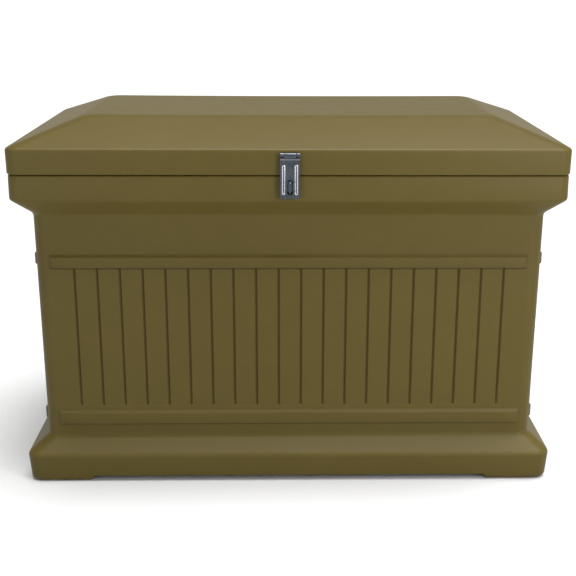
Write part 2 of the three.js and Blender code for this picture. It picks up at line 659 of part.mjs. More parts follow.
function backingPlateGeometry(frontY, lowZ, highZ, holeZ) {
  const halfWidth = STAPLE_PLATE_HALF_WIDTH + BACKING_MARGIN;
  const plate = boxOf(-halfWidth, halfWidth, frontY, frontY + BACKING_THICKNESS, lowZ, highZ);
  const holes = [-HASP_SCREW_X, HASP_SCREW_X].map((x) => roundBar(
    new THREE.Vector3(x, frontY, holeZ),
    Y_AXIS, SCREW_HOLE_RADIUS, 4 * BACKING_THICKNESS, SMALL_ROUND_SIDES,
  ));
  return geometryOf(cut(solidOf(plate), holes));
}

// ---- Lid stays --------------------------------------------------------------------------------------

// The slotted arm, drawn downwards from its pivot at the local origin in the local Y and Z.
function stayArmGeometry() {
  const outline = stadium(0, STAY_HALF_WIDTH, -STAY_LENGTH, STAY_HALF_WIDTH);
  const slotEnds = [-STAY_SLOT_END - STAY_SLOT_HALF_WIDTH, -STAY_SLOT_START + STAY_SLOT_HALF_WIDTH];
  outline.holes.push(stadium(0, STAY_SLOT_HALF_WIDTH, ...slotEnds));
  outline.holes.push(new THREE.Path().absarc(0, 0, STAY_PIVOT_RADIUS + GAP, 0, 2 * Math.PI, true));
  return extrudedAlongX(outline, 0, STAY_THICKNESS);
}

// Angle that turns the arm from straight down to the line from its pivot to the stud, about +X.
function stayRestAngle() {
  const line = new THREE.Vector2().subVectors(STAY_STUD, STAY_PIVOT);
  return Math.atan2(line.x, -line.y);
}

// Angle bracket under the lid's slope: a foot that follows the slope, and an ear that carries the pivot.
function stayBracketGeometry(sideX) {
  const earOuter = STAY_EAR_X;
  const earInner = earOuter - STAY_THICKNESS;
  const footInner = earOuter - STAY_BRACKET_REACH;
  const footTop = (x) => slopeUnderside(LID_WIDTH / 2 - x) - GAP / Math.cos(SLOPE_ANGLE);
  const bottomZ = STAY_PIVOT.y - STAY_BRACKET_DROP;
  const outline = polygon([
    [earInner, bottomZ],
    [earOuter, bottomZ],
    [earOuter, footTop(earOuter)],
    [footInner, footTop(footInner)],
    [footInner, footTop(footInner) - STAY_THICKNESS],
    [earInner, footTop(earInner) - STAY_THICKNESS],
  ]);
  const startY = STAY_PIVOT.x + STAY_BRACKET_LENGTH / 2;
  const right = extrudedFrontwards(outline, startY, STAY_BRACKET_LENGTH);
  const pivotHole = roundBar(
    new THREE.Vector3(STAY_EAR_X, STAY_PIVOT.x, STAY_PIVOT.y),
    X_AXIS, STAY_PIVOT_RADIUS + GAP, 4 * STAY_THICKNESS,
  );
  const screwHoles = bracketScrewPlaces(1).map((place) => roundBar(
    place, undersideNormal(1), SCREW_HOLE_RADIUS, 4 * STAY_THICKNESS, SMALL_ROUND_SIDES,
  ));
  const solid = cut(solidOf(right), [pivotHole, ...screwHoles]);
  return geometryOf(sideX > 0 ? solid : solid.mirror([1, 0, 0]));
}

// Rivet through the arm and the bracket's ear, on the local Y axis, centred between them.
function stayRivetGeometry() {
  const halfGrip = STAY_THICKNESS + STAY_EAR_GAP / 2 + GAP;
  const headRadius = 2 * STAY_PIVOT_RADIUS;
  const crownRadius = HEAD_CROWN_SHARE * headRadius;
  const top = halfGrip + STAY_RIVET_HEAD_HEIGHT;
  return turned([
    [0, -top],
    [crownRadius, -top],
    [headRadius, -halfGrip],
    [STAY_PIVOT_RADIUS, -halfGrip],
    [STAY_PIVOT_RADIUS, halfGrip],
    [headRadius, halfGrip],
    [crownRadius, top],
    [0, top],
  ], ROUND_SIDES);
}

function studPlateGeometry(sideX) {
  const outer = sideX * STUD_PLATE_X;
  const inner = sideX * (STUD_PLATE_X - STAY_THICKNESS);
  const plate = boxOf(
    Math.min(inner, outer), Math.max(inner, outer),
    STAY_STUD.x - STAY_PLATE_HALF_WIDTH, STAY_STUD.x + STAY_PLATE_HALF_WIDTH,
    STAY_STUD.y - STAY_PLATE_HALF_LENGTH, STAY_STUD.y + STAY_PLATE_HALF_LENGTH,
  );
  const holes = [-STAY_PLATE_SCREW_OFFSET, 0, STAY_PLATE_SCREW_OFFSET].map((offset) => roundBar(
    new THREE.Vector3(inner, STAY_STUD.x, STAY_STUD.y + offset),
    X_AXIS, SCREW_HOLE_RADIUS, 4 * STAY_THICKNESS, SMALL_ROUND_SIDES,
  ));
  return geometryOf(cut(solidOf(plate), holes));
}

// Shoulder screw on the local Y axis: the shoulder ends on the stud plate at the local origin, its head
// is towards local +Y, past the arm.
function shoulderScrewGeometry() {
  const shoulder = STUD_PLATE_X - STAY_THICKNESS - GAP - STAY_EAR_X;
  const headRadius = 2 * STAY_STUD_RADIUS;
  const top = shoulder + STAY_STUD_HEAD_HEIGHT;
  return turned([
    [0, -STAY_SCREW_LENGTH],
    [SCREW_RADIUS, -STAY_SCREW_LENGTH],
    [SCREW_RADIUS, 0],
    [STAY_STUD_RADIUS, 0],
    [STAY_STUD_RADIUS, shoulder],
    [headRadius, shoulder],
    [headRadius, shoulder + HEAD_RIM_SHARE * STAY_STUD_HEAD_HEIGHT],
    [HEAD_CROWN_SHARE * headRadius, top],
    [0, top],
  ], ROUND_SIDES);
}

// ---- Assembly ---------------------------------------------------------------------------------------

const chest = new THREE.Group();
chest.position.y = CENTRE_SHIFT_Y;

function brownPlastic() {
  return new THREE.MeshStandardMaterial({ color: BROWN, roughness: 0.55, metalness: 0 });
}

function zincSteel() {
  return new THREE.MeshStandardMaterial({ color: ZINC, roughness: 0.35, metalness: 0.9 });
}

function addPiece(name, geometry, material, position = new THREE.Vector3(), outward = Y_AXIS) {
  const mesh = new THREE.Mesh(geometry, material);
  mesh.name = name;
  mesh.position.copy(position);
  mesh.quaternion.setFromUnitVectors(Y_AXIS, outward);
  chest.add(mesh);
}

function addHinge(place, x) {
  const axis = new THREE.Vector3(x, HINGE_AXIS_Y, HINGE_AXIS_Z);
  addPiece(`${place}_hinge_tub_leaf`, hingeLeafGeometry(-1), zincSteel(), axis);
  addPiece(`${place}_hinge_lid_leaf`, hingeLeafGeometry(1), zincSteel(), axis);
  const pin = roundBar(new THREE.Vector3(), X_AXIS, HINGE_PIN_RADIUS, HINGE_WIDTH + HINGE_PIN_SPARE);
  addPiece(`${place}_hinge_pin`, pin, zincSteel(), axis);
  const headY = { lid: LID_LEAF_BACK_Y, tub: TUB_LEAF_BACK_Y };
  const headZ = { lid: HINGE_AXIS_Z + HINGE_SCREW_Z, tub: HINGE_AXIS_Z - HINGE_SCREW_Z };
  for (const leaf of ['lid', 'tub']) {
    for (const [end, offset] of [['a', -HINGE_SCREW_X], ['b', HINGE_SCREW_X]]) {
      const seat = new THREE.Vector3(x + offset, headY[leaf] + HINGE_LEAF_THICKNESS + GAP, headZ[leaf]);
      addPiece(`${place}_hinge_${leaf}_screw_${end}`, screwGeometry(HINGE_SCREW_LENGTH), zincSteel(), seat);
    }
  }
}

function addHasp() {
  const axis = new THREE.Vector3(0, HASP_AXIS_Y, HASP_AXIS_Z);
  addPiece('hasp_fixed_leaf', haspFixedLeafGeometry(), zincSteel());
  addPiece('hasp_swing_leaf', haspSwingLeafGeometry(), zincSteel());
  const pin = roundBar(new THREE.Vector3(), X_AXIS, HASP_PIN_RADIUS, HASP_WIDTH);
  addPiece('hasp_pin', pin, zincSteel(), axis);
  addPiece('staple', stapleGeometry(), zincSteel());
  const stapleMiddleZ = (STAPLE_Z[0] + STAPLE_Z[1]) / 2;
  const haspBackingTopZ = HASP_LEAF_TOP_Z - BACKING_MARGIN;
  const haspBacking = backingPlateGeometry(
    LID_BACKING_Y, HASP_FIXED_LEAF_BOTTOM_Z, haspBackingTopZ, HASP_SCREW_Z,
  );
  addPiece('hasp_backing_plate', haspBacking, zincSteel());
  const stapleBacking = backingPlateGeometry(RIM_BACKING_Y, STAPLE_Z[0], STAPLE_Z[1], stapleMiddleZ);
  addPiece('staple_backing_plate', stapleBacking, zincSteel());
  const lidNutY = LID_BACKING_Y + BACKING_THICKNESS + GAP + NUT_THICKNESS;
  const rimNutY = RIM_BACKING_Y + BACKING_THICKNESS + GAP + NUT_THICKNESS;
  for (const [end, x] of [['left', -HASP_SCREW_X], ['right', HASP_SCREW_X]]) {
    const haspSeat = new THREE.Vector3(x, HASP_FIXED_FRONT_Y - GAP, HASP_SCREW_Z);
    const haspScrew = screwGeometry(HASP_SCREW_LENGTH, HASP_SCREW_HEAD_HEIGHT);
    addPiece(`hasp_screw_${end}`, haspScrew, zincSteel(), haspSeat, FRONTWARDS);
    const haspNutPlace = new THREE.Vector3(x, 0, HASP_SCREW_Z);
    addPiece(`hasp_nut_${end}`, hexNutGeometry(lidNutY), zincSteel(), haspNutPlace);
    const stapleSeat = new THREE.Vector3(x, STAPLE_PLATE_FRONT_Y - GAP, stapleMiddleZ);
    const stapleScrew = screwGeometry(STAPLE_SCREW_LENGTH);
    addPiece(`staple_screw_${end}`, stapleScrew, zincSteel(), stapleSeat, FRONTWARDS);
    const stapleNutPlace = new THREE.Vector3(x, 0, stapleMiddleZ);
    addPiece(`staple_nut_${end}`, hexNutGeometry(rimNutY), zincSteel(), stapleNutPlace);
  }
}

function addStay(end, sideX) {
  const inward = new THREE.Vector3(-sideX, 0, 0);
  const outward = new THREE.Vector3(sideX, 0, 0);
  const armInner = sideX > 0 ? STAY_PLANE_X : -STAY_PLANE_X - STAY_THICKNESS;
  const arm = stayArmGeometry().rotateX(stayRestAngle());
  const pivot = new THREE.Vector3(armInner, STAY_PIVOT.x, STAY_PIVOT.y);
  addPiece(`${end}_stay_arm`, arm, zincSteel(), pivot);
  addPiece(`${end}_stay_lid_bracket`, stayBracketGeometry(sideX), zincSteel());
  const rivetX = sideX * (STAY_PLANE_X - STAY_EAR_GAP / 2);
  const rivetPlace = new THREE.Vector3(rivetX, STAY_PIVOT.x, STAY_PIVOT.y);
  addPiece(`${end}_stay_rivet`, stayRivetGeometry(), zincSteel(), rivetPlace, outward);
  addPiece(`${end}_stay_stud_plate`, studPlateGeometry(sideX), zincSteel());
  const plateFaceX = sideX * (STUD_PLATE_X - STAY_THICKNESS - GAP);
  const studPlace = new THREE.Vector3(plateFaceX, STAY_STUD.x, STAY_STUD.y);
  addPiece(`${end}_stay_shoulder_screw`, shoulderScrewGeometry(), zincSteel(), studPlace, inward);
  const screwEnds = ['a', 'b'];
  bracketScrewPlaces(sideX).forEach((place, index) => {
    const normal = undersideNormal(sideX);
    const seat = place.clone().addScaledVector(normal, STAY_THICKNESS * Math.cos(SLOPE_ANGLE) + 2 * GAP);
    const name = `${end}_stay_bracket_screw_${screwEnds[index]}`;
    addPiece(name, screwGeometry(STAY_SCREW_LENGTH), zincSteel(), seat, normal);
  });
  screwEnds.forEach((screwEnd, index) => {
    const offset = index === 0 ? STAY_PLATE_SCREW_OFFSET : -STAY_PLATE_SCREW_OFFSET;
    const seat = new THREE.Vector3(plateFaceX, STAY_STUD.x, STAY_STUD.y + offset);
    const name = `${end}_stay_plate_screw_${screwEnd}`;
    addPiece(name, screwGeometry(STAY_SCREW_LENGTH), zincSteel(), seat, inward);
  });
}

addPiece('tub', tubGeometry(), brownPlastic());
addPiece('lid', lidGeometry(), brownPlastic());
for (const [place, x] of Object.entries(HINGE_POSITIONS_X)) {
  addHinge(place, x);
}
addHasp();
addStay('left', -1);
addStay('right', 1);

export default chest;
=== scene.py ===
"""Parcel drop box: the moulded chest, its lid and its zinc-plated hardware, built round the packed frame.

The tub and the lid are surfaces of two parameters: a profile of (inset, height) carried round a rounded
rectangle. The hardware is turned, extruded or swept the same way. Metres, +Z up, the front faces -Y.
"""

import json
import math

import bmesh
import bpy
import numpy as np
from bpy.props import FloatProperty, FloatVectorProperty, IntProperty, PointerProperty
from mathutils import Matrix, Vector

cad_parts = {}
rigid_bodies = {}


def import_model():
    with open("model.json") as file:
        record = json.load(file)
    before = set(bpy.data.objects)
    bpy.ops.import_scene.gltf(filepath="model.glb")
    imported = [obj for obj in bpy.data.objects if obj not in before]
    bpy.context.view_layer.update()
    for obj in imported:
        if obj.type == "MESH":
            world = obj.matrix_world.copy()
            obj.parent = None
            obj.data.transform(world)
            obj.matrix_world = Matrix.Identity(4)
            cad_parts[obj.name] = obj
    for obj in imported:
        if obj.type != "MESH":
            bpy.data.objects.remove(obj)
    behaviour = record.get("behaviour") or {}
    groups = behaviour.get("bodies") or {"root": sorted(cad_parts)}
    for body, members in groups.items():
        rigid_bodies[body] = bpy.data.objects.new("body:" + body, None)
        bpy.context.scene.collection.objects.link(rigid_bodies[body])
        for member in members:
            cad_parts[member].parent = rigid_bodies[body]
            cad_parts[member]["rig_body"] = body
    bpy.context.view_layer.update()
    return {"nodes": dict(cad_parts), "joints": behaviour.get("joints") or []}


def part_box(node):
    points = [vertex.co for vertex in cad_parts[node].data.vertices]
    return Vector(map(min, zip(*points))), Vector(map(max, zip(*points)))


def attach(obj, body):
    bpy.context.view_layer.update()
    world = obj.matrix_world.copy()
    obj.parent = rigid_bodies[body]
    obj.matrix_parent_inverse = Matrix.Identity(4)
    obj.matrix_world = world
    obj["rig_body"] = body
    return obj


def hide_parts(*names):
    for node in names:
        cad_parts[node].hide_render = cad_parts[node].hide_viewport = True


bl_info = {
    "name": "Parcel Drop Box",
    "version": (1, 0, 0),
    "blender": (4, 5, 0),
    "location": "View3D > Sidebar > Drop Box",
    "description": "Builds a moulded parcel drop box with its hinges, lid stays and hasp",
    "category": "Object",
}

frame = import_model()

MM = 0.001
LID_LOW, LID_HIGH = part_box("lid")
TUB_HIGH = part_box("tub")[1]
CENTRE = np.array([(LID_LOW.x + LID_HIGH.x) / 2, (LID_LOW.y + LID_HIGH.y) / 2])
HALF = np.array([(LID_HIGH.x - LID_LOW.x) / 2, (LID_HIGH.y - LID_LOW.y) / 2])
JOINTS = {joint["name"]: joint for joint in frame["joints"]}
HINGE_AXIS = np.array(JOINTS["lid_hinge"]["pos_m"])
HASP_AXIS = np.array(JOINTS["hasp_hinge"]["pos_m"])
BODY_OF = {name: node["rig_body"] for name, node in frame["nodes"].items()}
HINGE_PLACES = ("left", "centre", "right")
SIDES = {"left": -1, "right": 1}

X, Y, Z = np.eye(3)
WELD = 1e-6
CRISP_ANGLE = math.radians(35)
STUB = 20 * MM  # a straight start for a profile whose first corner is rounded
FLAT_MARGIN = 24 * MM  # how far a profile runs onto the lid's flat top
RAMP = (0, 0.12, 0.35, 0.65, 0.88, 1.0)  # shares of a slope's width that carry its smooth section
CORNER_FADE = 40 * MM  # over which a ring's rounded corners fade out in the grid that fills it

AIM = Vector((0, 0, 0.4))
OVERHEAD_DIRECTION = Vector((-0.12, -0.03, -0.99))
# name, property with its power, place, width and height
SOFTBOXES = (
    ("Left light", "left_power", (-1.05, -1.7, 0.8), (0.5, 1.15)),
    ("Right light", "right_power", (1.1, -1.5, 1.0), (0.5, 1.15)),
    ("Front light", "front_power", (0.3, -1.6, 2.5), (1.4, 0.9)),
    ("Back light", "back_power", (0.4, 4.2, 1.95), (5.0, 1.6)),
)
FLOOR_FLAT, FLOOR_END, FLOOR_RISE, FLOOR_SIDES = 25.0, 120.0, 240.0, 72


# ---- Properties --------------------------------------------------------------------------------------

def length(name, description, default):
    return FloatProperty(name=name, description=description, default=default, unit="LENGTH", precision=5)


def colour(name, description, default):
    return FloatVectorProperty(
        name=name, description=description, default=default, subtype="COLOR", size=3, min=0, max=1,
    )


def whole(name, description, default):
    return IntProperty(name=name, description=description, default=default, min=1, subtype="UNSIGNED")


def strength(name, description, default):
    return FloatProperty(name=name, description=description, default=default, min=0, subtype="UNSIGNED")


def power(name, description, default):
    return FloatProperty(name=name, description=description, default=default, unit="POWER", min=0)


def angle(name, description, degrees):
    return FloatProperty(
        name=name, description=description, default=math.radians(degrees), subtype="ANGLE", precision=5,
    )


class TubSizes(bpy.types.PropertyGroup):
    """Sizes of the moulded tub; an inset is measured in from the lid's outline."""

    skin: length("Skin", "Thickness of the moulded wall", 5 * MM)
    floor_thickness: length("Floor", "Thickness of the floor", 6 * MM)
    foot_height: length("Foot height", "Height of the gap between the feet", 12 * MM)
    foot_length: length("Foot length", "Length of a foot along the plinth", 134 * MM)
    foot_slant: length("Foot slant", "How far a foot's inner end slants", 9 * MM)
    foot_inset: length("Foot inset", "Inset of the feet", 5.5 * MM)
    foot_rounding: length("Foot rounding", "Rounding under the outer edge of a foot", 11 * MM)
    skirt_rounding: length("Skirt rounding", "Rounding under the plinth between the feet", 2 * MM)
    plinth_edge: length("Plinth edge", "Height of the plinth's upper edge", 61 * MM)
    plinth_inset: length("Plinth inset", "Inset of the plinth's upper edge", 2 * MM)
    wall_bottom: length("Wall bottom", "Height where the walls begin", 90 * MM)
    wall_bottom_inset: length("Wall bottom inset", "Inset of the walls at their foot", 40.5 * MM)
    wall_top: length("Wall top", "Height where the walls end", 575 * MM)
    wall_top_inset: length("Wall top inset", "Inset of the walls at their top", 38 * MM)
    wall_bow: length("Wall bow", "How far the moulded walls bow inwards", 0.9 * MM)
    rim_bottom: length("Rim bottom", "Height of the rim's lower edge", 610 * MM)
    rim_bottom_inset: length("Rim bottom inset", "Inset of the rim's lower edge", 1.5 * MM)
    rim_top: length("Rim top", "Height of the rim's upper edge", 661 * MM)
    rim_top_inset: length("Rim top inset", "Inset of the rim's upper edge", 2 * MM)
    lip_inset: length("Lip inset", "Inset of the rain lip", 19 * MM)
    rim_radius: length("Rim corner", "Corner radius of the rim seen from above", 24 * MM)
    wall_radius: length("Wall corner", "Corner radius of the walls seen from above", 28 * MM)
    lip_radius: length("Lip corner", "Corner radius of the rain lip", 10 * MM)
    edge: length("Edge rounding", "Rounding of the rim's and the plinth's edges", 7 * MM)
    small_edge: length("Small edge rounding", "Rounding of the lip's and the parting edges", 2 * MM)
    upper_rail: length("Upper rail", "Height of the upper rail's lower edge", 462 * MM)
    lower_rail: length("Lower rail", "Height of the lower rail's lower edge", 118 * MM)
    upper_rail_width: length("Upper rail width", "Width of the upper rail", 30 * MM)
    lower_rail_width: length("Lower rail width", "Width of the lower rail", 32 * MM)
    rail_proud: length("Rail proud", "How far a rail stands out", 6 * MM)
    rail_top_slope: length("Rail top slope", "Width of a rail's sloped upper edge", 6.5 * MM)
    rail_under_slope: length("Rail under slope", "Width of a rail's lower edge", 2.4 * MM)
    rail_end_slope: length("Rail end slope", "Width of a rail's sloped ends", 6 * MM)
    rail_margin: length("Rail margin", "From a rail's end to the corner of the walls", 31 * MM)
    groove_pitch: length("Groove pitch", "Distance between grooves", 46.5 * MM)
    groove_width: length("Groove width", "Width of a groove", 6.6 * MM)
    groove_depth: length("Groove depth", "Depth of a groove", 2.8 * MM)
    groove_bottom: length("Groove bottom", "Height where the grooves begin", 160 * MM)
    front_grooves: whole("Front grooves", "Grooves on the front and back", 20)
    side_grooves: whole("Side grooves", "Grooves on each side", 10)


class LidSizes(bpy.types.PropertyGroup):
    """Sizes of the moulded lid."""

    skin: length("Skin", "Thickness of the moulded wall", 5 * MM)
    bottom_inset: length("Bottom inset", "Inset of the lid's lower edge", 0.5 * MM)
    eave: length("Eave", "Height of the eave", 713 * MM)
    flat_inset: length("Flat inset", "Inset of the flat top", 137 * MM)
    corner_radius: length("Corner", "Corner radius seen from above", 24 * MM)
    eave_rounding: length("Eave rounding", "Rounding of the eave", 5 * MM)
    crest_rounding: length("Crest rounding", "Rounding between the slopes and the flat top", 16 * MM)
    bottom_rounding: length("Bottom rounding", "Rounding of the lower edge", 3.4 * MM)
    sag: length("Sag", "How far the flat top sags in the middle", 2.2 * MM)


class HardwareSizes(bpy.types.PropertyGroup):
    """Sizes of the hinges, stays, hasp and fasteners that the frame doesn't give."""

    leaf_thickness: length("Hinge leaf", "Thickness of a hinge leaf", 2.5 * MM)
    leaf_corner: length("Hinge corner", "Corner radius of a hinge leaf", 6 * MM)
    leaf_start: length("Hinge leaf start", "From the hinge axis to the flat of a leaf", 6.2 * MM)
    knuckle_radius: length("Knuckle radius", "Outer radius of a hinge knuckle", 5.5 * MM)
    knuckle_gap: length("Knuckle gap", "Gap between knuckles", 0.4 * MM)
    knuckles: whole("Knuckles", "Knuckles of one hinge", 5)
    pin_radius: length("Hinge pin radius", "Radius of a hinge pin", 2.5 * MM)
    edge: length("Edge rounding", "Rounding of stamped edges", 0.4 * MM)
    strap_edge: length("Strap edge", "Rounding of the faces of the hasp's straps", 0.2 * MM)
    fine_edge: length("Fine edge", "Rounding of the hasp's knuckles and of straps", 0.3 * MM)
    pin_edge: length("Pin edge", "Rounding of hinge pins and knuckles", 0.5 * MM)
    hasp_sheet: length("Hasp sheet", "Thickness of the hasp's sheet", 1.5 * MM)
    hasp_barrel: length("Hasp barrel", "Outer radius of the hasp's barrel", 4.5 * MM)
    hasp_knuckle: length("Hasp knuckle", "Length of the hasp's middle knuckle", 24 * MM)
    hasp_corner: length("Hasp corner", "Corner radius at the foot of the leaf", 5 * MM)
    hasp_slot_width: length("Hasp slot width", "Width of the slot for the staple", 11 * MM)
    hasp_slot_low: length("Hasp slot low", "Height of the slot's lower end", 625 * MM)
    hasp_slot_high: length("Hasp slot high", "Height of the slot's upper end", 655 * MM)
    rib_spacing: length("Rib spacing", "Distance of a pressed rib from the middle", 12.5 * MM)
    rib_half_width: length("Rib half width", "Half the width of a pressed rib", 4.2 * MM)
    rib_low: length("Rib low", "Height of a rib's lower end", 624 * MM)
    rib_high: length("Rib high", "Height of a rib's upper end", 686 * MM)
    rib_proud: length("Rib proud", "How far a rib stands out", 1.2 * MM)
    bead_proud: length("Bead proud", "How far the bead under the barrel stands out", 0.8 * MM)
    bead_half_width: length("Bead half width", "Half the width of the bead under the barrel", 1.9 * MM)
    staple_bar: length("Staple bar", "Thickness of the staple's bar", 4.5 * MM)
    staple_width: length("Staple width", "Width of the staple's bar", 3.4 * MM)
    staple_half_rise: length("Staple half rise", "Half the height of the staple's loop", 12.5 * MM)
    stay_thickness: length("Stay thickness", "Thickness of a stay's arm", 2.5 * MM)
    stay_half_width: length("Stay half width", "Half the width of a stay's arm", 11 * MM)
    stay_slot_half_width: length("Stay slot half width", "Half the width of a stay's slot", 4.5 * MM)
    stay_slot_spare: length("Stay slot spare", "Spare length at each end of a stay's slot", 0.6 * MM)
    barrel_gap: length("Barrel gap", "Gap between the hasp's barrel and its leaves", 0.6 * MM)
    knuckle_gap: length("Knuckle gap", "Gap between the hasp's knuckles", 0.4 * MM)
    screw_head: length("Screw head", "Radius of a screw's head", 4 * MM)
    screw_head_height: length("Screw head height", "Height of a screw's head", 2 * MM)
    hasp_screw_head_height: length("Hasp screw head height", "Height of a hasp screw's head", 1.2 * MM)
    nut_thickness: length("Nut thickness", "Thickness of a nut", 3.2 * MM)
    shank_radius: length("Shank radius", "Radius of a screw's shank", 2 * MM)
    thread_pitch: length("Thread pitch", "Pitch of a screw's thread", 0.7 * MM)
    thread_depth: length("Thread depth", "Depth of a screw's thread", 0.25 * MM)
    recess_width: length("Recess width", "Half the width of the driver recess's arms", 0.42 * MM)
    recess_reach: length("Recess reach", "Length of the driver recess's arms", 2 * MM)
    recess_depth: length("Recess depth", "Depth of the driver recess", 0.9 * MM)


class Finishes(bpy.types.PropertyGroup):
    """Colours of the finishes."""

    plastic: colour("Plastic", "Olive brown of the moulded plastic", (0.0660, 0.0478, 0.0064))
    plastic_light: colour("Plastic, light", "Lighter patches of the plastic", (0.0710, 0.0516, 0.0073))
    # Painted shade: the plastic is darkened towards this colour in the grooves and under the rails, where
    # shade falls.
    plastic_painted_shade: colour("Plastic, painted shade", "Dust and shade held in the grooves", (0.0270, 0.0185, 0.0030))
    zinc: colour("Zinc", "Zinc plating", (0.086, 0.095, 0.108))
    zinc_dull: colour("Zinc, dull", "Cloudy patches of the zinc plating", (0.046, 0.053, 0.062))
    # Painted highlight: the zinc is lightened towards this colour on the crests of the hasp's pressed ribs.
    painted_rib_highlight: colour("Painted rib highlight", "Zinc plating rubbed bright on pressed ribs", (0.46, 0.48, 0.50))
    screw: colour("Screw", "Plated screws, nuts and rivets", (0.30, 0.315, 0.33))
    screw_dull: colour("Screw, dull", "Cloudy patches of the screws", (0.16, 0.17, 0.185))
    floor: colour("Floor", "Pale floor", (0.52, 0.52, 0.52))


class StageSetup(bpy.types.PropertyGroup):
    """Camera and lights."""

    camera_place: FloatVectorProperty(
        name="Camera place", description="Where the camera stands", default=(-0.016, -2.4071, 1.048),
        subtype="TRANSLATION", unit="LENGTH",
    )
    pitch: angle("Pitch", "How far the camera looks down", math.degrees(0.2869))
    yaw: angle("Yaw", "How far the camera looks to the right", math.degrees(0.0226))
    roll: angle("Roll", "How far the camera leans", math.degrees(0.0049))
    lens: FloatProperty(name="Lens", description="Focal length in millimetres", default=67.14, unit="CAMERA")
    shift: FloatProperty(
        name="Shift", description="Sideways shift of the view", default=-0.030, subtype="FACTOR",
    )
    overhead: strength("Overhead", "Strength of the wide light overhead", 6.2)
    overhead_width: angle("Overhead width", "How wide the light overhead looks", 42)
    left_power: power("Left light", "Power of the softbox on the left", 6)
    right_power: power("Right light", "Power of the softbox on the right", 20)
    front_power: power("Front light", "Power of the softbox above the camera", 3.4)
    back_power: power("Back light", "Power of the wide softbox behind the chest", 1.8)
    sky: strength("Sky", "Strength of the even light all round", 0.15)


# ---- Small formulas ----------------------------------------------------------------------------------

def smooth(t):
    """3t^2 - 2t^3, with t held between 0 and 1."""
    t = np.clip(t, 0, 1)
    return t * t * (3 - 2 * t)


def soft_ramp(t):
    """A ramp from 0 to 1, half of it straight and half of it the smooth step."""
    return 0.5 * np.clip(t, 0, 1) + 0.5 * smooth(t)


def unit(vectors):
    """Vectors divided by their own lengths, along the last axis."""
    return vectors / np.linalg.norm(vectors, axis=-1, keepdims=True)


def filleted(points, steps=4):
    """A line through rows of (u, v, w, reach). Each inner corner C becomes (1-t)^2 A + 2t(1-t) C + t^2 B,
    where A and B lie at that reach from C along its two sides, so the curve is tangent to both."""
    points = np.array(points, float)
    t = np.linspace(0, 1, steps + 1)[:, None]
    rows = [points[:1, :3]]
    for before, corner, after in zip(points[:-2, :3], points[1:-1], points[2:, :3]):
        tip = corner[:3]
        back, onward = before - tip, after - tip
        near, far = np.linalg.norm(back[:2]), np.linalg.norm(onward[:2])
        reach = min(corner[3], 0.45 * near, 0.45 * far)
        start, end = tip + back * reach / near, tip + onward * reach / far
        rows.append((1 - t) ** 2 * start + 2 * t * (1 - t) * tip + t * t * end)
    return np.vstack(rows + [points[-1:, :3]])


def rounded_polygon(corners, radii, steps=4):
    """A closed outline whose corners are rounded as filleted() rounds them."""
    corners = np.array(corners, float)
    radii = np.broadcast_to(radii, len(corners))
    rows = np.column_stack([corners, np.zeros(len(corners)), radii])
    looped = np.vstack([rows[-1:], rows, rows[:1]])
    return filleted(looped, steps)[1:-1, :2]


def stadium(low, high, half_width, steps=24):
    """Two half circles of that half width, round the first and last half_width of an upright segment."""
    turn = np.linspace(0, np.pi, steps)
    top = np.column_stack([np.cos(turn), np.sin(turn)]) * half_width
    return np.vstack([top + [0, high - half_width], -top + [0, low + half_width]])


def by_angle(outline, centre, angles):
    """The outline's points at the given angles as seen from a centre, by interpolation along it."""
    seen = np.arctan2(*(outline - centre).T[::-1]) % (2 * np.pi)
    order = np.argsort(seen)
    seen, points = seen[order], outline[order]
    return np.column_stack([np.interp(angles, seen, points[:, k], period=2 * np.pi) for k in (0, 1)])


def outline_normals(outline):
    """Outward unit normals of an anticlockwise outline: its central differences turned by -90 degrees."""
    along = unit(np.roll(outline, -1, 0) - np.roll(outline, 1, 0))
    return np.column_stack([along[:, 1], -along[:, 0]])


# ---- Meshes ------------------------------------------------------------------------------------------

def ring_faces(rows, count, closed_rows=False):
    """Quads between neighbouring rings of count points, closed round, and from the last ring to the first
    one if closed_rows."""
    row = np.arange(rows if closed_rows else rows - 1)[:, None]
    column = np.arange(count)[None, :]
    above, beside = (row + 1) % rows, (column + 1) % count
    corners = [row * count + column, row * count + beside, above * count + beside, above * count + column]
    return np.stack(corners, -1).reshape(-1, 4)


def grid_faces(rows, columns):
    """Quads of an open grid."""
    row, column = np.arange(rows - 1)[:, None], np.arange(columns - 1)[None, :]
    first = row * columns + column
    return np.stack([first, first + 1, first + columns + 1, first + columns], -1).reshape(-1, 4)


def rings(points, caps=True):
    """A block from rings of points (rows, count, 3), with a flat face on the first and the last ring."""
    rows, count = points.shape[:2]
    faces = ring_faces(rows, count).tolist()
    if caps:
        faces += [list(range(count))[::-1], list(range((rows - 1) * count, rows * count))]
    return points.reshape(-1, 3), faces


def hoop(points):
    """A block from rings of points that close on each other, like a tyre."""
    rows, count = points.shape[:2]
    return points.reshape(-1, 3), ring_faces(rows, count, closed_rows=True).tolist()


def placed(block, origin, across, up, outward):
    """A block moved from local (u, v, w) to origin + u across + v up + w outward."""
    points, faces = block
    return np.asarray(origin) + points @ np.array([across, up, outward], float), faces


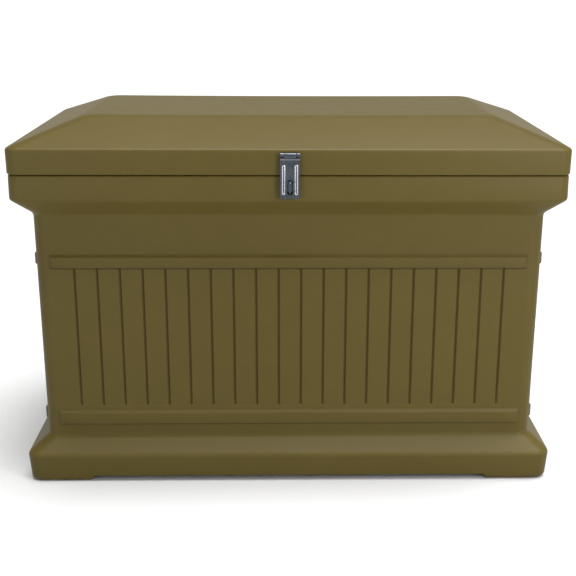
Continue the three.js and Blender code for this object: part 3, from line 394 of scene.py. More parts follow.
def mesh_object(name, blocks, shades=None):
    """One mesh object from blocks of (points, faces). Doubles are merged, faces turned outwards, and edges
    sharper than CRISP_ANGLE stay crisp. shades are the blocks' values of the attribute 'shade'."""
    counts = np.cumsum([0] + [len(points) for points, _ in blocks])
    faces = [[i + start for i in face] for (_, fs), start in zip(blocks, counts) for face in fs]
    mesh = bpy.data.meshes.new(name)
    mesh.from_pydata(np.vstack([points for points, _ in blocks]), [], faces)
    layer = mesh.attributes.new("shade", "FLOAT", "POINT")
    values = np.zeros(counts[-1]) if shades is None else np.concatenate(shades)
    layer.data.foreach_set("value", values.astype(np.float32))
    shape = bmesh.new()
    shape.from_mesh(mesh)
    bmesh.ops.remove_doubles(shape, verts=shape.verts, dist=WELD)
    bmesh.ops.dissolve_degenerate(shape, edges=shape.edges, dist=WELD / 10)
    bmesh.ops.recalc_face_normals(shape, faces=shape.faces)
    shape.to_mesh(mesh)
    shape.free()
    mesh.polygons.foreach_set("use_smooth", np.ones(len(mesh.polygons), bool))
    mesh.set_sharp_from_angle(angle=CRISP_ANGLE)
    made = bpy.data.objects.new(name, mesh)
    bpy.context.scene.collection.objects.link(made)
    return made


def stand_for(node, how, blocks, finish_key, shades=None, name=None):
    """Makes a piece that rides on a node's body and stands for the node, which is hidden, with the finish of
    that key. It is named after the node and how it is made, or has the name given."""
    made = mesh_object(name or f"{node}_{how}", blocks, shades)
    made.data.materials.append(finish(finish_key))
    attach(made, BODY_OF[node])
    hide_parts(node)
    return made


# ---- Generic shapes ----------------------------------------------------------------------------------

def edge_rows(depth, edge, steps=3):
    """(inset, height) rows up the side of a plate whose two edges are quarter circles of that radius."""
    turn = np.linspace(0, np.pi / 2, steps + 1)
    low = np.column_stack([edge * (1 - np.sin(turn)), edge * (1 - np.cos(turn))])
    high = np.column_stack([low[::-1, 0], depth - low[::-1, 1]])
    return np.vstack([low, high])


def plate(outline, depth, edge, hole=None):
    """An outline raised by depth with rounded edges, in local (u, v, w). With a hole, which has the same
    number of points, the rows go up the outside and down the inside and close on each other."""
    rows = edge_rows(depth, edge)
    side = outline - outline_normals(outline) * rows[:, None, :1]
    lift = np.broadcast_to(rows[:, None, 1:], side.shape[:2] + (1,))
    outside = np.concatenate([side, lift], -1)
    if hole is None:
        return rings(outside)
    bore = hole + outline_normals(hole) * rows[::-1, None, :1]
    inside = np.concatenate([bore, lift[::-1]], -1)
    return hoop(np.concatenate([outside, inside]))


def turned(profile, sides=48):
    """A profile of (radius, height) turned about the local w axis."""
    profile = np.array(profile, float)
    turn = np.linspace(0, 2 * np.pi, sides, endpoint=False)
    radius, height = profile[:, :1], profile[:, 1:]
    points = [radius * np.cos(turn), radius * np.sin(turn), np.broadcast_to(height, (len(profile), sides))]
    return rings(np.stack(points, -1), caps=False)


def turned_bar(radius, bar_length, edge, sides=40):
    """A round bar along w, centred, with rounded ends."""
    rows = edge_rows(bar_length, edge)
    profile = np.column_stack([radius - rows[:, 0], rows[:, 1] - bar_length / 2])
    return turned(np.vstack([(0, -bar_length / 2), profile, (0, bar_length / 2)]), sides)


def rounded_box_outline(low, high, radius):
    """A rectangle from low to high with corners of that radius, anticlockwise."""
    (u0, v0), (u1, v1) = low, high
    return rounded_polygon([(u0, v0), (u1, v0), (u1, v1), (u0, v1)], radius)


# ---- The chest's outline -----------------------------------------------------------------------------

class Outline:
    """Stations round a rounded rectangle, anticlockwise from the middle of the front left corner. A
    station's place is linear in the inset and in the corner radius: base + inward * inset + turn * radius.
    Marks are stations kept at fixed distances along the straight stretches."""

    def __init__(self, front_marks, side_marks, corner_steps):
        parts = []
        for side in range(4):
            marks = np.sort(front_marks if side % 2 == 0 else side_marks)
            start = math.radians(225 + 90 * side)
            half_turn = math.radians(45)
            first = np.linspace(start, start + half_turn, corner_steps + 1)
            last = np.linspace(start + half_turn, start + 2 * half_turn, corner_steps + 1)[:-1]
            parts.append(self.corner(first, start))
            parts.append(self.straight(marks, side))
            parts.append(self.corner(last, start + 2 * half_turn))
        joined = [np.concatenate(column) for column in zip(*parts)]
        self.base, self.inward, self.turn, self.normal, self.along, self.side = joined
        self.front_count = len(front_marks) + 2 * corner_steps + 1
        self.side_count = len(side_marks) + 2 * corner_steps + 1

    @staticmethod
    def corner(angles, direction):
        signs = np.sign(np.round([math.cos(direction), math.sin(direction)], 6))
        signs = np.broadcast_to(signs, (len(angles), 2))
        normal = np.column_stack([np.cos(angles), np.sin(angles)])
        blank = np.full(len(angles), np.inf)
        return signs * HALF, -signs, normal - signs, normal, blank, np.full(len(angles), -1)

    @staticmethod
    def straight(marks, side):
        angle_in = math.radians(270 + 90 * side)
        normal = np.round([math.cos(angle_in), math.sin(angle_in)], 6)
        forward = np.array([-normal[1], normal[0]])
        base = marks[:, None] * forward + normal * HALF
        normals = np.broadcast_to(normal, base.shape)
        return base, -normals, np.zeros_like(base), normals, marks, np.full(len(marks), side)

    def at(self, inset, radius):
        """Places for insets and radii of shape (rows, 1) or (rows, stations)."""
        return CENTRE + self.base + self.inward * inset[..., None] + self.turn * radius[..., None]

    def share_along(self, half_front, half_side):
        """Distance from a side's middle as a share of its half length, and more than 1 on the corners."""
        halves = np.where(self.side % 2 == 0, half_front, half_side)
        return np.abs(self.along) / halves

    def patch(self, ring, height):
        """Fills the inside of a ring with a grid. A point takes X from the front edge and Y from the side
        edge of its column and row, the corners' rounding fades out over CORNER_FADE, and its height is
        height(x, y)."""
        a, b = self.front_count, self.side_count
        front, right = ring[:a + 1], ring[a:a + b + 1]
        back, left = ring[a + b:2 * a + b + 1][::-1], np.vstack([ring[2 * a + b:], ring[:1]])[::-1]
        x, y = front[:, 0], right[:, 1]
        fades = [np.clip(1 - np.abs(v - v[end]) / CORNER_FADE, 0, 1) for v in (x, y) for end in (0, -1)]
        px = x + fades[0] * (left[:, :1] - x[0]) + fades[1] * (right[:, :1] - x[-1])
        py = y[:, None] + fades[2][:, None] * (front[:, 1] - y[0]) + fades[3][:, None] * (back[:, 1] - y[-1])
        points = np.stack([px, py, height(px, py)], -1)
        return points.reshape(-1, 3), grid_faces(*px.shape).tolist()


# ---- Tub ---------------------------------------------------------------------------------------------

def rail_height(s, z, reach_in):
    """Height of the two rails: the least of three ramps, from the lower edge, the upper edge and the end."""
    tallest = np.zeros(np.broadcast(z, reach_in).shape)
    for low, width in ((s.lower_rail, s.lower_rail_width), (s.upper_rail, s.upper_rail_width)):
        ramps = np.broadcast_arrays(
            (z - low) / s.rail_under_slope, (low + width - z) / s.rail_top_slope, reach_in / s.rail_end_slope,
        )
        tallest = np.maximum(tallest, soft_ramp(np.minimum.reduce(ramps)))
    return s.rail_proud * tallest


def under_rails(s, z, reach_in):
    """Painted shade under the rails: a soft band round each rail's lower edge, along the rail's length."""
    middles = [low + 0.1 * s.rail_under_slope for low in (s.lower_rail, s.upper_rail)]
    band = np.maximum(*[1 - smooth(np.abs(z - m) / (1.5 * s.rail_under_slope)) for m in middles])
    return band * smooth(reach_in / s.rail_end_slope)


def groove_share(s, z, along, count):
    """Depth of the grooves as a share: (1 - t^2)^2 with t from 0 in a groove's middle to 1 at its edge."""
    spaced = along / s.groove_pitch + count / 2
    inside = (spaced > 0) & (spaced < count)
    away = np.abs((np.where(inside, spaced, 0) % 1) - 0.5) * s.groove_pitch
    t = np.where(inside, np.clip(2 * away / s.groove_width, 0, 1), 1)
    ends = smooth((z - s.groove_bottom) / (2 * MM)) * smooth((s.upper_rail + MM - z) / (2 * MM))
    return (1 - t * t) ** 2 * ends


def groove_marks(s, count):
    """Marks across every groove, close enough to carry its section."""
    middles = (np.arange(count) - (count - 1) / 2) * s.groove_pitch
    across = np.array([-1.0, -0.66, -0.33, 0.0, 0.33, 0.66, 1.0]) * s.groove_width / 2
    return (middles[:, None] + across).ravel()


def end_marks(edge, width):
    """Marks across a sloped end that begins at edge and is width wide, on both halves of a side."""
    across = edge + width * np.array(RAMP)
    return np.concatenate([-across, across])


def wall_heights(s):
    """Heights of the rows between the foot and the top of the wall, close at the rails' edges."""
    ramp = np.array([-0.12, *RAMP, 1.12])
    rails = ((s.lower_rail, s.lower_rail_width), (s.upper_rail, s.upper_rail_width))
    edges = [low + np.append(ramp, (-0.4, -0.8, -1.4)) * s.rail_under_slope for low, _ in rails]
    edges += [low + width - ramp * s.rail_top_slope for low, width in rails]
    ends = s.groove_bottom + np.array([0, 0.5, 1.0, 1.5, 2.0]) * MM
    tops = s.upper_rail + np.array([-1.0, -0.5, 0.4, 1.0]) * MM
    long_stretch = np.linspace(s.groove_bottom, s.upper_rail, 7)[1:-1]
    return np.unique(np.round(np.concatenate(edges + [ends, tops, long_stretch]), 6))


def tub_profile(s):
    """Rows of (inset, height, corner radius) from the plinth up the outside, over the lip and down the
    inside to the floor, and the slice of rows that lie on the outer wall."""
    wall, rim, lip = s.wall_radius, s.rim_radius, s.lip_radius
    skin, edge, small = s.skin, s.edge, s.small_edge
    lip_top = TUB_HIGH.z
    draft = (s.wall_bottom_inset - s.wall_top_inset) / (s.wall_top - s.wall_bottom)
    lower = filleted([
        (s.foot_inset, s.foot_height, wall, 0),
        (s.plinth_inset, s.plinth_edge, wall, edge),
        (s.wall_bottom_inset, s.wall_bottom, wall, edge),
        (s.wall_bottom_inset - draft * STUB, s.wall_bottom + STUB, wall, 0),
    ])[1:-1]
    z = wall_heights(s)
    walls = np.column_stack([s.wall_bottom_inset - draft * (z - s.wall_bottom), z, np.full(len(z), wall)])
    upper = filleted([
        (s.wall_top_inset + draft * STUB, s.wall_top - STUB, wall, 0),
        (s.wall_top_inset, s.wall_top, wall, edge),
        (s.rim_bottom_inset, s.rim_bottom, rim, 0.7 * edge),
        (s.rim_top_inset, s.rim_top, rim, 2 * small),
        (s.lip_inset, s.rim_top, lip, small),
        (s.lip_inset, lip_top, lip, small),
        (s.lip_inset + skin, lip_top, lip - skin, small),
        (s.lip_inset + skin, s.rim_top - skin, lip - skin, small),
        (s.rim_top_inset + skin, s.rim_top - skin, rim - skin, small),
        (s.rim_bottom_inset + skin, s.rim_bottom + skin / 2, rim - skin, edge),
        (s.wall_top_inset + skin, s.wall_top - skin / 2, wall - skin, edge),
        (s.wall_bottom_inset + skin, s.wall_bottom + skin / 2, wall - skin, edge),
        (s.plinth_inset + skin, s.plinth_edge - skin / 2, wall - skin, edge),
        (s.foot_inset + skin, s.foot_height + s.floor_thickness, wall - skin, edge),
        (s.wall_bottom_inset, s.foot_height + s.floor_thickness, wall - skin, 0),
    ], steps=3)[1:]
    return np.vstack([lower, walls, upper]), slice(len(lower), len(lower) + len(walls))


def tub_blocks(s):
    """The tub as one closed surface: underside grid, foot rounding, profile rows and the floor's face."""
    foot_x = HALF[0] - s.foot_inset - s.foot_length - s.foot_slant / 2
    foot_y = HALF[1] - s.foot_inset - s.foot_length - s.foot_slant / 2
    rail_x = HALF[0] - s.wall_top_inset - s.rail_margin
    rail_y = HALF[1] - s.wall_top_inset - s.rail_margin
    outline = Outline(
        np.concatenate([groove_marks(s, s.front_grooves), end_marks(foot_x, s.foot_slant),
                        end_marks(rail_x - s.rail_end_slope, s.rail_end_slope)]),
        np.concatenate([groove_marks(s, s.side_grooves), end_marks(foot_y, s.foot_slant),
                        end_marks(rail_y - s.rail_end_slope, s.rail_end_slope)]),
        corner_steps=6,
    )

    def underside(x, y):
        """0 under the feet and the foot height elsewhere, with slanted ends between."""
        over_x = soft_ramp((np.abs(x - CENTRE[0]) - foot_x) / s.foot_slant)
        over_y = soft_ramp((np.abs(y - CENTRE[1]) - foot_y) / s.foot_slant)
        return s.foot_height * (1 - over_x * over_y)

    # Under the outer edge: a quarter circle whose radius grows from the skirt's to the feet's.
    count = len(outline.along)
    one = np.ones((1, count))
    edge_xy = outline.at(one * s.foot_inset, one * s.wall_radius)[0]
    base = underside(edge_xy[:, 0], edge_xy[:, 1])
    on_foot = 1 - base / s.foot_height
    rounding = s.skirt_rounding + (s.foot_rounding - s.skirt_rounding) * on_foot
    turn = np.linspace(0, np.pi / 2, 7)[:, None]
    inset = s.foot_inset + rounding * (1 - np.sin(turn))
    low_xy = outline.at(inset, np.full_like(inset, s.wall_radius))
    low = np.concatenate([low_xy, (base + rounding * (1 - np.cos(turn)))[..., None]], -1)

    profile, on_wall = tub_profile(s)
    inset, z, radius = (profile[:, k:k + 1] for k in (0, 1, 2))
    stands = np.zeros((len(profile), count))
    shade = np.zeros_like(stands)
    wall_z = z[on_wall]
    reach_in = np.where(outline.side % 2 == 0, rail_x, rail_y) - np.abs(outline.along)
    grooves = np.where(outline.side % 2 == 0, s.front_grooves, s.side_grooves)
    along = np.where(outline.side < 0, 9.0, outline.along)
    cut = groove_share(s, wall_z, along, grooves)
    rise = (wall_z - s.wall_bottom) / (s.wall_top - s.wall_bottom)
    bow = s.wall_bow * np.sin(np.pi * rise) * (1 - smooth(outline.share_along(rail_x, rail_y)))
    stands[on_wall] = rail_height(s, wall_z, reach_in) - s.groove_depth * cut - bow
    # Painted shade: darker plastic in the grooves and under the rails.
    shade[on_wall] = np.maximum(cut, under_rails(s, wall_z, reach_in))
    xy = outline.at(inset * one, radius * one) + outline.normal * stands[..., None]
    main = np.concatenate([xy, (z * one)[..., None]], -1)
    points = np.concatenate([low, main])

    body = points.reshape(-1, 3), ring_faces(len(points), count).tolist()
    body[1].append(list(range((len(points) - 1) * count, len(points) * count)))
    under = outline.patch(points[0], underside)
    shades = [np.concatenate([np.zeros(low.shape[0] * count), shade.ravel()]), np.zeros(len(under[0]))]
    return [body, under], shades


# ---- Lid ---------------------------------------------------------------------------------------------

def lid_profile(s):
    """Rows of (inset, height, corner radius) from under the flat top, down the inside, round the lower edge
    and up the outside to the flat top."""
    top, bottom = LID_HIGH.z, LID_LOW.z
    slope = (top - s.eave) / s.flat_inset
    across = s.skin * math.hypot(1, slope)
    inner_flat = s.flat_inset + (across - s.skin) / slope
    inner = s.bottom_inset + s.skin
    outer_radius, inner_radius = s.corner_radius, s.corner_radius - s.skin
    return filleted([
        (inner_flat + FLAT_MARGIN, top - s.skin, inner_radius, 0),
        (inner_flat, top - s.skin, inner_radius, s.crest_rounding),
        (inner, s.eave + slope * inner - across, inner_radius, s.eave_rounding),
        (inner, bottom, inner_radius, s.bottom_rounding / 2),
        (s.bottom_inset, bottom, outer_radius, s.bottom_rounding),
        (0, s.eave, outer_radius, s.eave_rounding),
        (s.flat_inset, top, outer_radius, s.crest_rounding),
        (s.flat_inset + FLAT_MARGIN, top, outer_radius, 0),
    ], steps=6)


def lid_blocks(s):
    """The lid as one closed surface: profile rows and a grid under and over the flat top."""
    marks_x = np.linspace(-1, 1, 33) * (HALF[0] - s.flat_inset - 2 * s.corner_radius)
    marks_y = np.linspace(-1, 1, 17) * (HALF[1] - s.flat_inset - 2 * s.corner_radius)
    outline = Outline(marks_x, marks_y, corner_steps=9)
    flat = HALF - s.flat_inset

    def sagged(points):
        """Lowers points by sag * w^2 * (1 - (x/a)^2) * (1 - 0.35 (y/b)^2), with w from 0 at the eave to 1
        at the flat top and a, b the flat top's half sizes."""
        x, y, z = np.moveaxis(points, -1, 0)
        w = np.clip((z - s.eave) / (LID_HIGH.z - s.skin - s.eave), 0, 1)
        share = np.clip(1 - ((x - CENTRE[0]) / flat[0]) ** 2, 0, 1)
        share = share * np.clip(1 - 0.35 * ((y - CENTRE[1]) / flat[1]) ** 2, 0, 1)
        return np.stack([x, y, z - s.sag * w * w * share], -1)

    profile = lid_profile(s)
    one = np.ones((1, len(outline.along)))
    inset, z, radius = (profile[:, k:k + 1] * one for k in (0, 1, 2))
    points = np.concatenate([outline.at(inset, radius), z[..., None]], -1)
    blocks = [(sagged(points).reshape(-1, 3), ring_faces(*points.shape[:2]).tolist())]
    for ring in (points[0], points[-1]):
        level = ring[0, 2]
        block = outline.patch(ring, lambda x, y, level=level: np.full(x.shape, level))
        blocks.append((sagged(block[0]), block[1]))
    return blocks


# ---- Fasteners ---------------------------------------------------------------------------------------

def node_points(node):
    """The distinct vertices of a CAD node."""
    mesh = frame["nodes"][node].data
    flat = np.empty(len(mesh.vertices) * 3, np.float32)
    mesh.vertices.foreach_get("co", flat)
    return np.unique(np.round(flat.reshape(-1, 3).astype(float), 6), axis=0)


def measured(node, outward):
    """Middle of the outermost ring of a node's vertices, and the node's length, along outward."""
    points = node_points(node)
    reach = points @ outward
    outermost = points[reach > reach.max() - 0.02 * MM]
    return outermost.mean(0), reach.max() - reach.min()


def side_of(outward):
    """Two unit vectors that make a right-handed set with outward."""
    helper = Z if abs(outward[2]) < 0.9 else X
    across = unit(np.cross(helper, outward))
    return across, np.cross(outward, across)


def screw_blocks(h, node, outward, head_height):
    """A pan-head screw. Its head is a dome, height * (1 - 0.6 t^4) over t = r / R, less a cross recess;
    its shank's radius falls by the thread depth times a triangle wave of height / pitch - turn."""
    head_radius = h.screw_head
    top, whole = measured(node, outward)
    sides = 48
    turn = np.linspace(0, 2 * np.pi, sides, endpoint=False)
    t = np.concatenate([np.linspace(0, 0.86, 15), [0.92, 0.97, 1.0]])[:, None]
    u, v = t * head_radius * np.cos(turn), t * head_radius * np.sin(turn)
    dome = -0.6 * head_height * t ** 4
    arms = [
        smooth((h.recess_width - np.abs(p)) / (0.3 * MM) + 0.5)
        * smooth((h.recess_reach - np.abs(q)) / (0.5 * MM))
        for p, q in ((u, v), (v, u))
    ]
    head_z = dome - min(h.recess_depth, 0.6 * head_height) * np.maximum(*arms)
    head = np.stack([u, v, head_z], -1)
    depths = np.linspace(head_height, whole, 2 + int((whole - head_height) / (h.thread_pitch / 4)))[:, None]
    wave = np.abs(((depths / h.thread_pitch - turn / (2 * np.pi)) % 1) * 2 - 1)
    taper = np.clip((whole - depths) / h.shank_radius, 0, 1)
    radius = (h.shank_radius - h.thread_depth * wave) * taper
    shank = np.stack([radius * np.cos(turn), radius * np.sin(turn), -depths * np.ones(sides)], -1)
    rim = np.stack([head_radius * np.cos(turn), head_radius * np.sin(turn), np.full(sides, -head_height)], -1)
    block = rings(np.concatenate([head, rim[None], shank]), caps=False)
    across, up = side_of(outward)
    return [placed(block, top, across, up, outward)]


def nut_blocks(h, node):
    """A hexagon nut on the Y axis: across a turn the flats lie at a / cos(turn from the flat's middle), and
    the corners are cut by a 30 degree cone."""
    low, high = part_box(node)
    cone, sides = math.radians(30), 72
    flat = (high.x - low.x) / 2 * math.cos(cone)
    bore, bevel = h.shank_radius, h.fine_edge
    turn = np.linspace(0, 2 * np.pi, sides, endpoint=False)
    hexagon = flat / np.cos((turn % (np.pi / 3)) - np.pi / 6)
    drop = (hexagon - flat) * math.tan(cone)
    tall = h.nut_thickness
    rows = [
        (bore, bevel), (bore + bevel, 0), (flat, 0), (hexagon, drop),
        (hexagon, tall - drop), (flat, tall), (bore + bevel, tall), (bore, tall - bevel),
    ]
    points = np.stack([
        np.column_stack([r * np.cos(turn), r * np.sin(turn), np.broadcast_to(w, sides)]) for r, w in rows
    ])
    middle = np.array([(low.x + high.x) / 2, low.y, (low.z + high.z) / 2])
    return [placed(hoop(points), middle, X, Z, Y)]


# ---- Hinges ------------------------------------------------------------------------------------------

def hinge_leaf_blocks(h, node, direction):
    """A leaf of a butt hinge: a rounded plate, knuckles turned about the hinge axis and the strap that
    joins each knuckle to the plate. direction is 1 for the lid's leaf and -1 for the tub's."""
    low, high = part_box(node)
    middle_x, half = (low.x + high.x) / 2, (high.x - low.x) / 2
    # The tub leaf reaches both ends of the hinge and the lid leaf's plate is as wide.
    back_y, front_y = low.y, low.y + h.leaf_thickness
    near, far = h.leaf_start, abs((high.z if direction > 0 else low.z) - HINGE_AXIS[2])
    corners = [(-half, near), (half, near), (half, far), (-half, far)]
    outline = rounded_polygon(corners, [0.5 * MM, 0.5 * MM, h.leaf_corner, h.leaf_corner], steps=6)
    origin = np.array([middle_x, front_y, HINGE_AXIS[2]])
    blocks = [placed(plate(outline, h.leaf_thickness, h.edge), origin, X * direction, Z * direction, -Y)]
    knuckle = (2 * half - (h.knuckles - 1) * h.knuckle_gap) / h.knuckles
    for index in range(1 if direction > 0 else 0, h.knuckles, 2):
        place = middle_x - half + index * (knuckle + h.knuckle_gap) + knuckle / 2
        axis = np.array([place, HINGE_AXIS[1], HINGE_AXIS[2]])
        blocks.append(placed(turned_bar(h.knuckle_radius, knuckle, h.pin_edge), axis, Y, Z, X))
        inner = HINGE_AXIS[1] - h.knuckle_radius * 0.35
        strap = rounded_box_outline((back_y, -MM), (inner, near + MM), h.fine_edge)
        start = np.array([place - knuckle / 2, 0, HINGE_AXIS[2]])
        blocks.append(placed(plate(strap * [1, direction], knuckle, h.fine_edge), start, Y, Z, X))
    return blocks


# ---- Hasp --------------------------------------------------------------------------------------------

def ridge(away, middle, half_width):
    """A rounded ridge: cos^2 of a quarter turn over its half width."""
    return np.cos(np.pi / 2 * np.clip((away - middle) / half_width, -1, 1)) ** 2


def hasp_ribs(h, u, v, top):
    """Height of the pressed ribs. Each of the two upright ribs is a ridge that runs round a segment, so that
    a narrow hollow is left along its middle, and a low bead runs across under the barrel."""
    total = h.bead_proud * ridge(v, top - h.bead_half_width - h.barrel_gap, h.bead_half_width)
    for side in (-1, 1):
        ends = np.clip(v, h.rib_low + h.rib_half_width, h.rib_high - h.rib_half_width)
        d = np.hypot(u - side * h.rib_spacing, v - ends)
        total += h.rib_proud * ridge(d, 0.52 * h.rib_half_width, 0.5 * h.rib_half_width)
    return total


def hasp_leaf_blocks(h):
    """The swing leaf: a grid from the slot to the outer outline, front and back, with the ribs pressed
    through the sheet, then the middle knuckle and the strap that joins it."""
    low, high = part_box("hasp_swing_leaf")
    half = (high.x - low.x) / 2
    top = HASP_AXIS[2] - h.hasp_barrel - h.barrel_gap
    centre = np.array([0, (h.hasp_slot_low + h.hasp_slot_high) / 2])
    angles = np.linspace(0, 2 * np.pi, 480, endpoint=False)
    corners = [(-half, low.z), (half, low.z), (half, top), (-half, top)]
    radii = [h.hasp_corner, h.hasp_corner, 2 * MM, 2 * MM]
    wide = rounded_polygon(corners, radii, steps=10)
    dense = np.linspace(0, 1, 25)[:-1, None, None]
    wide = (wide + (np.roll(wide, -1, 0) - wide) * dense).transpose(1, 0, 2).reshape(-1, 2)
    outer = by_angle(wide, centre, angles)
    slot = by_angle(stadium(h.hasp_slot_low, h.hasp_slot_high, h.hasp_slot_width / 2), centre, angles)
    edge, sheet = h.edge, h.hasp_sheet
    outer_in = outer - outline_normals(outer) * edge
    slot_in = slot + outline_normals(slot) * edge
    share = np.linspace(0, 1, 56)[:, None, None]
    face = slot_in + (outer_in - slot_in) * share
    press = hasp_ribs(h, face[..., 0], face[..., 1], top)

    def row(outline, depth):
        return np.concatenate([outline, np.broadcast_to(depth, outline.shape[:-1])[..., None]], -1)

    front = row(face, press)
    back = row(face, press - sheet)[::-1]
    sides = [row(outer, -edge)[None], row(outer, edge - sheet)[None]]
    bore = [row(slot, edge - sheet)[None], row(slot, -edge)[None]]
    points = np.concatenate([front, *sides, back, *bore])
    crest = np.zeros(points.shape[:2])
    # Painted highlight: the ribs' crests lighten the zinc through the 'shade' attribute.
    crest[:len(face)] = press / h.rib_proud
    front_y = HASP_AXIS[1] - h.hasp_barrel
    blocks = [placed(hoop(points), (0, front_y, 0), X, Z, -Y)]
    blocks.append(placed(turned_bar(h.hasp_barrel, h.hasp_knuckle, h.fine_edge), HASP_AXIS, Y, Z, X))
    width = h.hasp_knuckle / 2
    strap = rounded_box_outline((-width, top - MM), (width, HASP_AXIS[2]), h.fine_edge)
    blocks.append(placed(plate(strap, sheet, h.strap_edge), (0, front_y + sheet, 0), X, Z, -Y))
    return blocks, [crest.ravel()] + [np.zeros(len(points)) for points, _ in blocks[1:]]


def hasp_fixed_blocks(h):
    """The fixed leaf: a plate against the lid, two end knuckles and their straps."""
    low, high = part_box("hasp_fixed_leaf")
    half = (high.x - low.x) / 2
    back_y = high.y if high.y < HASP_AXIS[1] else LID_LOW.y - 0.3 * MM
    top = HASP_AXIS[2] - h.hasp_barrel - h.barrel_gap
    outline = rounded_box_outline((-half, low.z), (half, top), MM)
    blocks = [placed(plate(outline, h.hasp_sheet, h.edge), (0, back_y, 0), X, Z, -Y)]
    inner = h.hasp_knuckle / 2 + h.knuckle_gap
    for side in (-1, 1):
        middle = np.array([side * (half + inner) / 2, HASP_AXIS[1], HASP_AXIS[2]])
        blocks.append(placed(turned_bar(h.hasp_barrel, half - inner, h.fine_edge), middle, Y, Z, X))
        span = sorted((side * inner, side * half))
        strap = rounded_box_outline((span[0], top - MM), (span[1], HASP_AXIS[2]), h.fine_edge)
        blocks.append(placed(plate(strap, h.hasp_sheet, h.strap_edge), (0, back_y, 0), X, Z, -Y))
    return blocks


def staple_blocks(h):
    """The staple: a rounded plate and a flat bar with soft edges swept round a U, whose section is
    carried along the path on the path's own normals."""
    low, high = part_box("staple")
    half = (high.x - low.x) / 2
    front_y = high.y - h.hasp_sheet
    outline = rounded_box_outline((-half, low.z), (half, high.z), 3 * MM)
    blocks = [placed(plate(outline, h.hasp_sheet, h.edge), (0, high.y, 0), X, Z, -Y)]
    middle = (low.z + high.z) / 2
    reach, rise = low.y + h.staple_bar / 2, h.staple_half_rise - h.staple_bar / 2
    sunk, bend = front_y + 0.5 * MM, 3 * MM
    path = filleted([
        (sunk, middle + rise, 0, 0), (reach, middle + rise, 0, bend),
        (reach, middle - rise, 0, bend), (sunk, middle - rise, 0, 0),
    ], steps=10)[:, :2]
    along = unit(np.gradient(path, axis=0))
    side = np.column_stack([along[:, 1], -along[:, 0]])
    bar, wide = h.staple_bar / 2, h.staple_width / 2
    section = rounded_box_outline((-bar, -wide), (bar, wide), 1.0 * MM)
    yz = path[:, None] + side[:, None] * section[None, :, :1]
    x = np.broadcast_to(section[None, :, 1], yz.shape[:2])
    blocks.append(rings(np.stack([x, yz[..., 0], yz[..., 1]], -1)))
    return blocks


def backing_blocks(h, node):
    """A backing plate with rounded corners."""
    low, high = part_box(node)
    outline = rounded_box_outline((low.x, low.z), (high.x, high.z), 2.5 * MM)
    return [placed(plate(outline, high.y - low.y, h.edge), (0, high.y, 0), X, Z, -Y)]


# ---- Lid stays ---------------------------------------------------------------------------------------

def stay_arm_blocks(h, end):
    """A slotted arm from its pivot towards the stud, drawn upright and turned onto that line. The slot
    reaches the chords 2 R sin(a / 2) of the closed and the open angle between pivot and stud."""
    pivot = np.array(JOINTS[f"{end}_stay_pivot"]["pos_m"])
    stud, _ = measured(f"{end}_stay_shoulder_screw", -X * SIDES[end])
    low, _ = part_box(f"{end}_stay_arm")
    to_pivot, to_stud = pivot[1:] - HINGE_AXIS[1:], stud[1:] - HINGE_AXIS[1:]
    radius = np.linalg.norm(to_pivot)
    closed = math.acos(to_pivot @ to_stud / radius / np.linalg.norm(to_stud))
    opened = closed + math.radians(JOINTS["lid_hinge"]["range_deg"][1])
    near_end = 2 * radius * math.sin(closed / 2) - h.stay_slot_spare - h.stay_slot_half_width
    far_end = 2 * radius * math.sin(opened / 2) + h.stay_slot_spare + h.stay_slot_half_width
    end_reach = far_end - h.stay_slot_half_width + h.stay_half_width
    outer = stadium(-h.stay_half_width, end_reach, h.stay_half_width)
    slot = stadium(near_end, far_end, h.stay_slot_half_width)
    down = unit(stud[1:] - pivot[1:])
    up = np.array([0, down[0], down[1]])
    origin = np.array([low.x, pivot[1], pivot[2]])
    return [placed(plate(outer, h.stay_thickness, h.edge, hole=slot), origin, np.cross(up, X), up, X)]


def stay_bracket_blocks(h, end, slope):
    """An angle bracket: an upright ear and a foot that follows the lid's slope, extruded along Y."""
    low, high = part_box(f"{end}_stay_lid_bracket")
    side = SIDES[end]
    ear, inner = (high.x, low.x) if side > 0 else (-low.x, -high.x)
    thick = h.stay_thickness
    at_ear = high.z - slope * (ear - inner)
    corners = [
        (ear - thick, low.z), (ear, low.z), (ear, at_ear), (inner, high.z), (inner, high.z - thick),
        (ear - thick, at_ear + slope * thick - thick),
    ]
    corner, outer_bend, inner_bend = 0.5 * MM, 2 * MM, 1.5 * MM
    outline = rounded_polygon(corners, [corner, corner, outer_bend, corner, corner, inner_bend])
    depth = high.y - low.y
    return [placed(plate(outline, depth, h.edge), (0, high.y, 0), X * side, Z, -Y)]


def stud_plate_blocks(h, end):
    """A plate with rounded corners on the inner wall."""
    low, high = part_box(f"{end}_stay_stud_plate")
    outline = rounded_box_outline((low.y, low.z), (high.y, high.z), 4 * MM)
    return [placed(plate(outline, high.x - low.x, h.edge), (low.x, 0, 0), Y, Z, X)]


def domed_profile(radius, height, floor):
    """(radius, height) rows of a low dome from its middle out: height * (1 - 0.75 t^4), and a short rim."""
    t = np.linspace(0, 0.94, 9)
    dome = np.column_stack([t * radius, floor + height * (1 - 0.75 * t ** 4)])
    return np.vstack([dome, [(radius, floor + 0.15 * height), (radius, floor)]])


def stay_rivet_blocks(end):
    """A rivet with two domed heads."""
    outward = X * SIDES[end]
    node = f"{end}_stay_rivet"
    top, whole = measured(node, outward)
    low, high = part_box(node)
    head, shank, tall = (high.z - low.z) / 2, 3 * MM, 2 * MM
    upper = domed_profile(head, tall, -tall)
    lower = upper[::-1] * [1, -1] + [0, -whole]
    profile = np.vstack([upper, [(shank, -tall), (shank, tall - whole)], lower])
    across, up = side_of(outward)
    return [placed(turned(profile), top, across, up, outward)]


